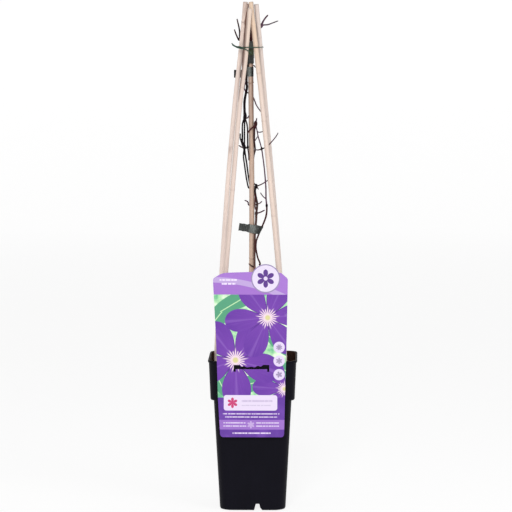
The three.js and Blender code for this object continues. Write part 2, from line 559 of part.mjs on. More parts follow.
function labelShape() {
  const shape = new THREE.Shape();
  shape.moveTo(-38, LABEL_BOTTOM);
  shape.lineTo(37.4, LABEL_BOTTOM);
  shape.quadraticCurveTo(41.3, LABEL_BOTTOM, 41.6, LABEL_BOTTOM + 4.5);
  shape.lineTo(42.6, -50);
  shape.lineTo(45, 38);
  shape.lineTo(46.3, 107);
  shape.quadraticCurveTo(46.3, 109, 44.6, 110.6);
  shape.lineTo(39, 115.6);
  shape.quadraticCurveTo(37.4, 117, 34.6, 117);
  shape.absarc(BADGE.x, BADGE.height, BADGE.radius, 0.416, 2.66, false);
  shape.lineTo(-26.5, 117.2);
  shape.quadraticCurveTo(-37, 117, -41.4, 115);
  shape.lineTo(-49.6, 110.4);
  shape.quadraticCurveTo(-51.4, 109.2, -51.3, 107);
  shape.lineTo(-47.8, 38);
  shape.lineTo(-46.4, 2);
  shape.lineTo(-45, -50);
  shape.lineTo(-42.3, LABEL_BOTTOM + 4.5);
  shape.quadraticCurveTo(-41.8, LABEL_BOTTOM, -38, LABEL_BOTTOM);
  shape.holes.push(new THREE.Path(slotOutline().map(([u, v]) => new THREE.Vector2(u, v))));
  return shape;
}

// The die-cut slot: a bar with a scalloped top edge and a short leg at each end.
function slotOutline() {
  const { left, right, top, waist, bottom, legs, legWidth } = SLOT;
  return [
    [left, legs],
    [left, top],
    [left + 7.6, top],
    [left + 10, waist - 0.4],
    [left + 13.6, waist + 0.6],
    [left + 17, waist - 1],
    [left + 23.3, waist - 0.2],
    [left + 27.6, waist - 1],
    [left + 31.6, waist + 1],
    [left + 35.6, waist],
    [left + 39, top + 0.3],
    [right, top],
    [right, legs],
    [right - legWidth, legs],
    [right - legWidth, bottom],
    [left + legWidth, bottom],
    [left + legWidth, legs],
  ];
}

// The tongue cut from the slot: folded up behind the sheet, over the lip and down inside as two prongs.
function tongue() {
  const { left, right, top } = SLOT;
  const width = right - left;
  const lipTop = GAP + 0.1;
  const back = LABEL_THICKNESS + GAP;
  const strapMiddle = (top + lipTop + 0.6) / 2;
  const strap = new THREE.BoxGeometry(width, 0.6, lipTop + 0.6 - top).translate(0, back + 0.3, strapMiddle);
  const fold = new THREE.BoxGeometry(width, back + 0.8, 1.2).translate(0, (back + 0.8) / 2 - 0.2, top + 0.6);
  const bridge = new THREE.BoxGeometry(width, 5.6, 0.6).translate(0, back + 2.8, lipTop + 0.3);
  const prongs = [-1, 1].map((side) =>
    new THREE.BoxGeometry(8, 0.6, 9).translate((side * (width - 8)) / 2, back + 5.3, lipTop - 4.2),
  );
  return [strap, fold, bridge, ...prongs].map((box) => box.translate((left + right) / 2, 0, 0));
}

function makeLabel() {
  const sheet = slab(labelShape(), LABEL_THICKNESS).rotateX(Math.PI / 2).translate(0, LABEL_THICKNESS, 0);
  return geometryOf(joined([sheet, ...tongue()]));
}

// ---------------------------------------------------------------- assembly
const plant = new THREE.Group();
plant.add(piece("pot", makePot(), BLACK_PLASTIC));
plant.add(piece("compost", makeCompost(), COMPOST));
for (const [name, { route, nodes }] of Object.entries(STICKS)) {
  plant.add(piece(name, bamboo(route, STICK_RADIUS, nodes), PALE_BAMBOO));
}
plant.add(piece("cane", bamboo(CANE_ROUTE, CANE_RADIUS, CANE_NODES), BROWN_BAMBOO));
plant.add(piece("clematis_vine", makeVine(), VINE_BARK));
plant.add(piece("top_tape", makeTopTape(), GREEN_TAPE));
plant.add(piece("middle_tape", makeMiddleTape(), GREEN_TAPE));
plant.add(piece("low_tape", makeLowTape(), GREEN_TAPE));
plant.add(piece("wire_tie", makeWireTie(), GREEN_WIRE));

const label = piece("label", makeLabel(), PRINTED_PLASTIC);
const labelHook = new THREE.Group();
labelHook.position.set(0, -RIM_HALF - LABEL_THICKNESS - 1.4, POT_HEIGHT);
labelHook.rotation.x = LABEL_LEAN;
labelHook.add(label);
plant.add(labelHook);

export default plant;
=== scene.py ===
"""The looks of a young bare clematis climber in its square nursery pot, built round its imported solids.

Shapes are worked out in millimetres in the object's own frame (+Z up, the label faces -Y) and turned into
metres when a mesh is made. Routes and heights are named like those of the solids.
"""
import math
import random
from functools import partialmethod

import bmesh
import bpy
import numpy as np
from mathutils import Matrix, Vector, noise
from mathutils.geometry import delaunay_2d_cdt
from mathutils.kdtree import KDTree


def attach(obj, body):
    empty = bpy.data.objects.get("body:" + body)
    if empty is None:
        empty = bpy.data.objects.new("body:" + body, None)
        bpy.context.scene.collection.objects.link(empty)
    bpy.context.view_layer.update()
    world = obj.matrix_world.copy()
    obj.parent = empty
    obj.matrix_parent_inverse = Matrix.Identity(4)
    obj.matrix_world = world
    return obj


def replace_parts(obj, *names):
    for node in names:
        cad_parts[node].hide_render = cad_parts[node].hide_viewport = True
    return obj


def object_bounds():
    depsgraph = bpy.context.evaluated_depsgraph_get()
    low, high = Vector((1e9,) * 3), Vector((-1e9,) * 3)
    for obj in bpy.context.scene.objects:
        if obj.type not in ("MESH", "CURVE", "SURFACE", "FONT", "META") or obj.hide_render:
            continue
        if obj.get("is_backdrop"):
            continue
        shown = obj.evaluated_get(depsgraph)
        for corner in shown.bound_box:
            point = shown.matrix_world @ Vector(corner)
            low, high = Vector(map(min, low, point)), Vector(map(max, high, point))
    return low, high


MM = 0.001
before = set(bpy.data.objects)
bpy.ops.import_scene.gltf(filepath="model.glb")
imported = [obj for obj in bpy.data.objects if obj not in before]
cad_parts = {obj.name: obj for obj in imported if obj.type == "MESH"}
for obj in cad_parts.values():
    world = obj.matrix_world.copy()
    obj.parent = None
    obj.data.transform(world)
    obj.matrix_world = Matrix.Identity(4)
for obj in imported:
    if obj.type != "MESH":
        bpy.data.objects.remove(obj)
cad_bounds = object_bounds()
draw = random.Random(31)

# ---------------- driving dimensions, in millimetres
POT_HEIGHT = 200
RIM_HALF = 58.7
COLLAR_FOOT = 148
COLLAR_FOOT_HALF = 55.4
COLLAR_SLOPE = 0.0407
COLLAR_FLAT = 42  # half of the collar's straight sides
POT_EDGE = 0.35
SOIL_TOP = 186
SOIL_HALF = 55.1  # inside the collar, at the compost's surface
SOIL_CORNER = 12.6
CRUST = 6  # depth of the loose top
CRUMBS = 1500
CRUMB_MARGIN = 1.5  # kept free along the pot's wall
CHIP_SHARE = 0.06  # of the crumbs

STICK_RADIUS = 3.15
STICK_BORE = (0.7, 3)  # radius and depth of the hollow in the cut end


def plain_knots(*places):
    """Knots of a peeled stick: where each is, how far it stands out and how dark it is."""
    return [(place, 0.14, 0.14) for place in places]


STICKS = {
    "stick_front_left": {
        "route": [(-44.8, -42.6, 154), (-43.8, -42, 200), (-34.2, -34.5, 328), (-25.7, -26.4, 435),
                  (-16.5, -19, 540), (-10.1, -15, 592), (-6.8, -12.6, 630), (-4, -10.6, 659.4)],
        "knots": plain_knots(120, 270, 405),
    },
    "stick_front_right": {
        "route": [(43.4, -42, 154), (42.2, -41.4, 200), (33.3, -33.9, 324), (11.6, -14.6, 540),
                  (5.7, -10.3, 592), (-2.9, -2.8, 668.2)],
        "knots": plain_knots(95, 236, 361, 424),
    },
    "stick_back_left": {
        "route": [(-49.8, 40.6, 154), (-49.8, 40, 200), (-41.7, 31, 322), (-33.6, 22.5, 433),
                  (-23.8, 14.5, 539), (-17.7, 10.6, 592), (-12.6, 7, 640), (-10.1, 4.9, 668.2)],
        "knots": plain_knots(150, 325) + [(491, 0.14, 0.45)],
    },
    "stick_back_right": {
        "route": [(41.8, 39, 154), (40.8, 37.6, 205), (34.8, 31.4, 314), (10.6, 9.6, 593), (4.2, 4.2, 665.2)],
        "knots": plain_knots(110, 245, 366, 470),
    },
}
CANE_RADIUS = 3.45
CANE_BORE = (1.5, 8)
CANE_ROUTE = [(-1.8, 0, 62), (-2, 0, 300), (-1.7, 0, 420), (-2.3, 0, 490), (-3.5, 0, 612)]
CANE_KNOTS = [(92, 0.3, 0.3), (268, 0.3, 0.3), (394, 0.15, 0.06), (500, 0.6, 0.5)]

TENDRIL_NODE = (2, -5.4, 318)
LOW_NODE = (4.2, -3, 389.8)
MAIN_BEND = (5.4, -2.6, 402)
MID_NODE = (4.2, -2.6, 425.8)
LEFT_NODE = (-11.6, -2, 477.4)
CANE_SIDE_NODE = (-7, -4.4, 477.6)
LEFT_FAN = (-11.1, -2.4, 516.5)
LEFT_RISE = (-9.4, -2.2, 549)
RIGHT_NODE = (3.4, -3.4, 508.4)
LOOP_FORK = (11.3, -3.2, 475.2)
LOOP_NODE = (18, -4, 400.4)
TOP_FORK = (-4.4, -1.5, 622)
TOP_RIGHT_NODE = (11.2, 13.4, 637.5)
TOP_LEFT_NODE = (-17.8, 13.4, 624)

# Bark tones: the old brown stem near the soil, the nearly black middle, red young wood, mauve loops and
# grey twig ends.
BROWN, BLACK, RED, MAUVE, GREY = 0.0, 0.3, 0.55, 0.8, 1.0
# Each strand: thickness at its start and end, its tone at its start and end, and its route.
STRANDS = [
    # main stem, from the compost up the front right of the cane
    (2.8, 2.9, BROWN, 0.2, [(6.2, -9, 150), (5.2, -8, 190), (3.8, -6.2, 235), (2.6, -5.6, 288),
     TENDRIL_NODE, (1.9, -5, 340), (2.2, -4.8, 358), (3.2, -4.4, 372), (4.1, -3.8, 382), LOW_NODE]),
    (3, 2.6, 0.2, BLACK, [LOW_NODE, (5, -2.8, 396), MAIN_BEND, (4.2, -2.5, 409), (3, -2.7, 415.6),
     (2.6, -3, 421), MID_NODE]),
    (1.6, 1.5, RED, RED, [(4.6, -2.8, 393), (2.9, -3.8, 397), (2.6, -4, 404), (2.9, -3.4, 416)]),
    # a second, thinner stem from the compost, behind the label
    (2.5, 1.9, BROWN, BROWN, [(-7.5, -8.5, 158), (-7, -7.5, 190), (-5.2, -6.6, 240), (-3, -6.4, 276),
     (0, -6.2, 300), TENDRIL_NODE]),
    # round the back of the cane to the left, in two strands
    (2, 1.9, BLACK, BLACK, [MID_NODE, (3.8, 2, 425.4), (1.4, 5.1, 424.4), (-2, 5.9, 422.6),
     (-5.5, 4.8, 423), (-8.5, 2.4, 434), (-10.1, 1, 444.5), (-11.5, 0, 455), (-12.8, -1, 466), LEFT_NODE]),
    (2, 2.1, BLACK, BLACK, [(-2, 5.9, 422.6), (-4.4, 5.6, 428), (-6, 4.9, 436.3), (-7.1, 4, 444.4),
     (-8.4, 2, 455), (-10.1, -0.4, 466), LEFT_NODE]),
    # up the left side in three strands
    (2.3, 2, BLACK, BLACK, [LEFT_NODE, (-13.7, -2.2, 482), (-14.1, -2.2, 495), (-13.8, -2.2, 509),
     LEFT_FAN]),
    (2.1, 1.9, BLACK, BLACK, [LEFT_NODE, (-11.3, -3, 486), (-11.3, -3.2, 504), LEFT_FAN]),
    (1.4, 2.1, RED, BLACK, [(-5.7, -2.8, 460), (-5.8, -3.8, 467), (-6.6, -4.4, 474.5), CANE_SIDE_NODE]),
    (2.1, 2, BLACK, BLACK, [CANE_SIDE_NODE, (-7.2, -4.4, 494), (-7.4, -4.5, 503), (-8.6, -4, 510),
     LEFT_FAN]),
    (2, 2, BLACK, BLACK, [LEFT_NODE, (-9.4, -3.2, 476.4), CANE_SIDE_NODE]),
    (1.7, 2, RED, RED, [(-7.2, -4.4, 495.6), (-5.4, -5.2, 498.8), (-1.8, -5.8, 502.6), (1.4, -5.2, 505.4),
     RIGHT_NODE]),
    (3.4, 2.7, BLACK, BLACK, [LEFT_FAN, (-11.2, -2, 524), (-11.3, -2, 537), LEFT_RISE, (-8.1, -2.6, 556),
     (-8.7, -2.8, 564.5), (-8.4, -3.1, 572), (-7.6, -3.3, 582), (-7.3, -3.4, 586), (-6.2, -4.4, 595),
     (-5.4, -4.9, 606), (-4.9, -4.2, 616), TOP_FORK]),
    (2, 1.8, BLACK, BLACK, [(-12.6, -2.4, 511), (-9.8, -3.4, 514.6), (-9.2, -2.8, 519), (-11.2, -2, 526)]),
    # a slack loop beside the cane, under the middle tape
    (1.4, 1.4, MAUVE, MAUVE, [LEFT_RISE, (-11.4, -3, 554), (-11, -3.4, 560), (-8.7, -2.8, 565.5)]),
    # down the right edge of the cane and behind it
    (2.6, 1.7, 0.45, BLACK, [RIGHT_NODE, (2, -3.8, 502), (1.6, -3.8, 494), (1.6, -3.6, 485),
     (2.4, -1.6, 478), (2.5, 1.5, 473), (0.8, 4.8, 466), (-0.2, 5.3, 450), (0.4, 5.3, 437), (0.2, 5.2, 431),
     (3.2, 2.6, 427.4), MID_NODE]),
    # the long slack loop on the right, down through the lower tape to its curled tip
    (1.5, 2, MAUVE, MAUVE, [RIGHT_NODE, (5.4, -3.3, 498.2), (6.6, -3.2, 492), (8.9, -3.2, 484.3), LOOP_FORK,
     (12.7, -3.2, 466), (14.6, -3.2, 451.4), (16, -3.4, 436.8), (16.9, -3.6, 423.6), (17.1, -3.8, 410.4),
     LOOP_NODE]),
    (2.3, 2.1, 0.5, 0.5, [LOOP_NODE, (18.1, -4.2, 394), (17.2, -4.8, 386.7), (14.6, -5.7, 379),
     (10.7, -6.6, 370), (6.9, -6.9, 361), (4.4, -7.9, 353.8), (3.8, -8.2, 345.5), (4.9, -7.9, 337.5),
     (6.6, -7.6, 330.4), (8.6, -7.4, 326), (9.3, -7.3, 323.4), (8.4, -7.2, 321.4)]),
    # the cut end of the old stem, on top of the cane in the gap between the front sticks
    (4.8, 3.6, 0.48, 0.52, [(-3.1, -1.3, 613.4), (-3, -1.5, 624), (-3, -1.2, 634), (-2.9, -0.7, 643)]),
    # a dry shoot up the gap between the two left sticks; its dark brown also stands as painted shade in that
    # gap
    (1.5, 2, 0.15, 0.1, [(-8.7, -2.8, 565.5), (-11.5, -2.6, 569), (-13.4, -2.4, 576), (-13.9, -2.2, 588),
     (-12.9, -2.2, 600), (-11.5, -2.4, 611), (-11.4, -2.6, 620)]),
    (2, 1.6, 0.1, BROWN, [(-11.4, -2.6, 620), (-11.3, -2.7, 624), (-10.5, -2.8, 631), (-10, -3, 640),
     (-9, -2.9, 650), (-7.3, -2, 658), (-6.4, -1.4, 662), (-6.8, -1.2, 666)]),
    # top right: out between the back sticks to a fork beyond the right-hand one
    (2.2, 2.5, BLACK, BLACK, [TOP_FORK, (-3.4, 3.4, 626), (-1.4, 9.6, 629.5), (4.6, 13.4, 632),
     (9.2, 14, 634), TOP_RIGHT_NODE]),
    (2.6, 2, MAUVE, 0.7, [TOP_RIGHT_NODE, (12.4, 13.4, 641.5), (15.4, 13, 646.4), (19.3, 12.4, 651)]),
    (2, 1.5, MAUVE, GREY, [TOP_RIGHT_NODE, (14.6, 13.2, 638), (19.4, 12.8, 638.4), (26, 12.2, 640.8),
     (33, 11.6, 643.4)]),
    # top left: two twigs from behind the left-hand stick
    (2.1, 2.1, BLACK, BLACK, [TOP_FORK, (-6, 4.4, 624), (-8.6, 11.8, 624), (-12.6, 14.4, 624),
     TOP_LEFT_NODE]),
    (2.2, 1.7, BLACK, 0.5, [TOP_LEFT_NODE, (-18, 12.6, 629), (-18.9, 11.6, 635), (-21.4, 10, 646)]),
    (2.2, 1.7, BLACK, 0.5, [TOP_LEFT_NODE, (-18.4, 14, 619.6), (-19, 14, 617.6), (-20, 13.4, 619.6),
     (-22.8, 11.6, 626), (-24.9, 10, 632)]),
    # side twigs and leaf stalk stubs, from the top down
    (1.6, 1.3, BLACK, GREY, [(-7.4, -3.3, 586), (-8, 1, 586), (-5.5, 4.8, 585.8), (-1, 4.6, 585.2),
     (1.6, 2.4, 584.4), (2.6, 0.6, 583), (4.2, -0.6, 582.2)]),
    (1.8, 1.5, BLACK, GREY, [LEFT_RISE, (-7.2, 3.2, 549), (-3.4, 5.2, 547), (0, 4.3, 543), (2, 1.6, 538.5),
     (4.5, -2, 532.5), (10.4, -4, 524)]),
    (1.8, 1.5, BLACK, GREY, [LEFT_FAN, (-7.8, -3.8, 515.8), (-5.2, -5.4, 519.3)]),
    (1.8, 1.5, RED, GREY, [RIGHT_NODE, (4.2, -3.5, 512), (4.9, -3.7, 516.2)]),
    (2.1, 1.7, BLACK, BLACK, [LEFT_NODE, (-13.8, -2.2, 479.6), (-15.4, -2.2, 484.5), (-17, -2.2, 489.5),
     (-16.9, -2.2, 495.5)]),
    (1.9, 1.5, BLACK, GREY, [LEFT_NODE, (-15, -2, 477.4), (-19, -2, 480)]),
    (1.4, 1.3, MAUVE, GREY, [(5.4, -3.3, 498.2), (8, -4.4, 497.2), (14, -5.2, 498.5)]),
    (1.3, 1.2, MAUVE, GREY, [(6.6, -3.2, 492), (4.9, -4.6, 490), (2.6, -5.4, 485.6)]),
    (1.7, 1.4, BLACK, GREY, [LOOP_FORK, (7, -4, 473.9), (2.4, -4.6, 474.2)]),
    (1.7, 1.3, BLACK, GREY, [LOOP_FORK, (15.4, -2.6, 476.8), (22.4, -1.4, 482.3), (31.2, 0, 493),
     (33, 0, 496.6)]),
    (1.6, 1.3, BLACK, GREY, [MID_NODE, (10.4, -3.4, 428.2), (16.2, -3.4, 431.6), (20.8, -4.6, 434.9)]),
    (1.5, 1.3, BLACK, GREY, [MID_NODE, (6.2, -2.8, 423.4), (7.2, -3, 421.4)]),
    (1.5, 1.3, MAUVE, GREY, [(17.1, -3.8, 409), (13.1, -3.4, 412.6), (9.5, -3, 417.6)]),
    (1.6, 1.4, RED, MAUVE, [MAIN_BEND, (9.1, -3.2, 403.6), (11.8, -3.4, 406.4)]),
    (2, 1.7, RED, MAUVE, [LOW_NODE, (10.4, -4.2, 391.9), (15.4, -4.8, 394.6)]),
    (1.9, 1.6, 0.5, MAUVE, [MAIN_BEND, (4.2, 2.4, 401.4), (-0.4, 5.5, 400), (-4.2, 4.4, 399.8),
     (-6.2, 2.2, 401.4), (-7, 0.8, 405), (-11.4, 0, 407.2)]),
    # a dry tendril across the front of the cane
    (1.9, 1.5, RED, BROWN, [TENDRIL_NODE, (0.4, -6, 319.6), (-2.4, -5.9, 320.8), (-5.8, -5.2, 323.6)]),
]
# Joints of the stem, with their radius and the tone of their bark.
SWELLINGS = [
    (LOW_NODE, 2.4, 0.25), (MID_NODE, 2.3, BLACK), (LEFT_NODE, 2.6, BLACK), (LEFT_FAN, 2.5, BLACK),
    (RIGHT_NODE, 2.8, 0.45), (LOOP_NODE, 1.9, BLACK), (LOOP_FORK, 1.7, BLACK), (TOP_FORK, 1.9, BLACK),
    (TOP_RIGHT_NODE, 2.2, MAUVE), (TOP_LEFT_NODE, 1.7, BLACK), (CANE_SIDE_NODE, 1.8, BLACK),
    (TENDRIL_NODE, 2.1, BROWN),
]

GAP = 0.3
TAPE_THICKNESS = 0.8
TOP_TAPE = {"foot": 587.5, "height": 29.5,
            "circles": [(-3.55, 0, 3.7), (-5.3, -4.8, 1.4), (-7, -3.6, 1.45)]}
MIDDLE_TAPE = {"foot": 570.5, "height": 12.5,
               "circles": [(-3.45, 0, 3.7), (-7.95, -3.15, 1.75)]}
MIDDLE_TAIL = {"foot": 568.4, "height": 10.6,
               "route": [(-7.5, 2.2, 0), (-10, 7, 0), (-13.4, 13.6, 0), (-17.6, 16.6, 0), (-25.6, 17.2, 0)]}
LOW_TAPE = {"middle": 369.4, "height": 11, "lean": math.radians(9),
            "circles": [(-1.9, 0, 4.8), (3.4, -4.4, 2.1), (9.8, -6.8, 1.1)]}
END_PULL = {"start": 5, "run": 8, "shift": 4.4}  # the lower tape's right end follows the strand that it holds
WIRE_RADIUS = 0.6
WIRE_SIDES = 10
WIRE_LEVEL = 608.8

LABEL_FRONT = -RIM_HALF - 2.1  # the label's own frame stands at the rim, in front of it
LABEL_THICKNESS = 0.7
LABEL_EDGE = 0.12
SHEET_STEP = 4  # between the points of its flat sheet
LABEL_LEAN = math.radians(1.2)
LABEL_BOTTOM = -100
BADGE = {"x": 17.4, "height": 109.4, "radius": 18.8}
SLOT = {"left": -24.5, "right": 22.2, "top": -4.4, "waist": -6.4, "bottom": -10, "legs": -13.4,
        "leg_width": 2.8}

CAMERA_AT = (0.0628, -3.5995, 0.655)
CAMERA_AIM = (0.0038, 0, 0.3332)
CAMERA_LENS = 191.94


# ---------------- curves and meshes
def centripetal(points):
    """A dense run of points on a smooth curve through the given ones."""
    given = np.array(points, float)
    knots = np.vstack([2 * given[0] - given[1], given, 2 * given[-1] - given[-2]])
    share = np.linspace(0, 1, 24, endpoint=False)[:, None]
    dense = []
    for before, start, end, after in zip(knots, knots[1:], knots[2:], knots[3:]):
        gaps = [math.sqrt(np.linalg.norm(b - a)) for a, b in ((before, start), (start, end), (end, after))]
        leave = (start - before) / gaps[0] - (end - before) / (gaps[0] + gaps[1]) + (end - start) / gaps[1]
        arrive = (end - start) / gaps[1] - (after - start) / (gaps[1] + gaps[2]) + (after - end) / gaps[2]
        cubic = (2 * share**3 - 3 * share**2 + 1) * start + (3 * share**2 - 2 * share**3) * end
        bend = (share**3 - 2 * share**2 + share) * leave + (share**3 - share**2) * arrive
        dense.append(cubic + bend * gaps[1])
    return np.vstack([*dense, given[-1]])


def around(count):
    """Even angles of a full turn."""
    return np.linspace(0, 2 * math.pi, count, endpoint=False)


def unit(rows):
    return rows / np.linalg.norm(rows, axis=1)[:, None]


def lengths_along(points):
    return np.concatenate([[0], np.cumsum(np.linalg.norm(np.diff(points, axis=0), axis=1))])


def places_on(points, places):
    """Points at these distances along a polyline."""
    along = lengths_along(points)
    return np.stack([np.interp(places, along, points[:, axis]) for axis in range(3)], axis=1)


def smooth_path(points, step):
    dense = centripetal(points)
    total = lengths_along(dense)[-1]
    return places_on(dense, np.linspace(0, total, max(3, round(total / step) + 1)))


def wall(count, sides, turned=False, closed=False):
    """The faces of a tube of rings, with so many sides each."""
    faces = []
    for ring in range(count if closed else count - 1):
        here, there = ring * sides, (ring + 1) % count * sides
        for side in range(sides):
            after = (side + 1) % sides
            face = (here + side, here + after, there + after, there + side)
            faces.append(face[:1] + face[:0:-1] if turned else face)
    return faces


def capped(count, sides):
    """The faces of a tube with both of its ends closed."""
    return [*wall(count, sides), range(sides)[::-1], range((count - 1) * sides, count * sides)]


SHARP_ANGLE = math.radians(48)


def mark(mesh, grain, tone):
    """Keeps each point's grain and tone where the materials read them."""
    mesh.attributes.new("grain", "FLOAT_VECTOR", "POINT").data.foreach_set("vector", np.ravel(grain))
    mesh.attributes.new("tone", "FLOAT", "POINT").data.foreach_set("value", tone)


class Shape:
    """A mesh in the making. grain is where a point lies in its rod laid straight, and tone is its mark or
    painted light.
    """

    def __init__(self):
        self.points, self.faces, self.grain, self.tone = [], [], [], []

    def add(self, points, faces, grain=None, tone=0.0):
        start = sum(len(block) for block in self.points)
        points = np.asarray(points, float).reshape(-1, 3)
        self.points.append(points)
        self.grain.append(points if grain is None else np.asarray(grain, float).reshape(-1, 3))
        self.tone.append(np.broadcast_to(np.asarray(tone, float).ravel(), (len(points),)))
        self.faces.extend([start + corner for corner in face] for face in faces)

    def rod(self, path, radius, sides, tone=0.0, bore=None):
        """A round rod along a path. radius and tone are one number, or one per point of the path, or one per
        point and side. bore is the radius and depth of a hole in its far end."""
        path = np.asarray(path, float)
        turn = around(sides)
        radius, tone = (np.broadcast_to(np.reshape(values, (-1, sides if np.ndim(values) > 1 else 1)),
                                        (len(path), sides)) for values in (radius, tone))
        ahead = unit(np.gradient(path, axis=0))
        along = lengths_along(path)
        if bore:
            hole, depth = bore
            path = np.vstack([path, path[-1], path[-1] - depth * ahead[-1]])
            ahead = np.vstack([ahead, ahead[-1], ahead[-1]])
            radius = np.vstack([radius, np.full((2, sides), hole)])
            tone = np.vstack([tone, tone[-1:], tone[-1:]])
            along = np.append(along, [along[-1], along[-1] - depth])
        across = unit(np.array([0, 1.0, 0]) - ahead * ahead[:, 1:2])
        other = np.cross(ahead, across)
        ring = across[:, None] * np.cos(turn)[:, None] + other[:, None] * np.sin(turn)[:, None]
        grain = np.stack([radius * np.cos(turn), radius * np.sin(turn),
                          np.broadcast_to(along[:, None], radius.shape)], axis=-1)
        self.add(path[:, None] + radius[..., None] * ring, capped(len(path), sides), grain, tone)

    def ring_of_rings(self, rings, tone=0.0):
        """A closed band through rings of points, with the last joined to the first."""
        rings = np.asarray(rings, float)
        self.add(rings, wall(*rings.shape[:2], turned=True, closed=True), tone=tone)

    def mesh(self, name):
        mesh = bpy.data.meshes.new(name)
        mesh.from_pydata((np.vstack(self.points) * MM).tolist(), [], self.faces)
        mark(mesh, np.vstack(self.grain), np.concatenate(self.tone))
        return mesh

    def piece(self, name, *materials):
        return placed(name, self.mesh(name), *materials)


def placed(name, mesh, *materials):
    """A new piece in the scene, which rides with the one body that the object has."""
    mesh.materials.clear()
    for material in materials:
        mesh.materials.append(material)
    mesh.polygons.foreach_set("use_smooth", [True] * len(mesh.polygons))
    mesh.set_sharp_from_angle(angle=SHARP_ANGLE)
    piece = bpy.data.objects.new(name, mesh)
    bpy.context.scene.collection.objects.link(piece)
    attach(piece, "root")
    return piece


def bevelled(piece, name, width, angle):
    """Rounds the piece's edges that are sharper than an angle in degrees."""
    edges = piece.modifiers.new(name, "BEVEL")
    edges.width = width * MM
    edges.segments = 2
    edges.limit_method = "ANGLE"
    edges.angle_limit = math.radians(angle)


def applied(piece):
    """The piece with its modifiers worked into its mesh."""
    bpy.context.view_layer.update()
    shown = piece.evaluated_get(bpy.context.evaluated_depsgraph_get())
    mesh = bpy.data.meshes.new_from_object(shown)
    piece.modifiers.clear()
    piece.data = mesh
    bpy.context.view_layer.update()
    return piece


def rough(x, y, z, seed=0.0):
    """Smooth noise between about -1 and 1."""
    return noise.noise(Vector((x + seed, y - seed, z + 2 * seed)))


# ---------------- node materials
def linear(red, green, blue):
    """A screen colour, 0 to 255, as the renderer's light values."""
    shares = (value / 255 for value in (red, green, blue))
    return tuple(share / 12.92 if share < 0.0404 else ((share + 0.055) / 1.055) ** 2.4 for share in shares)


SOFT = 0.2  # half of a printed edge's blur


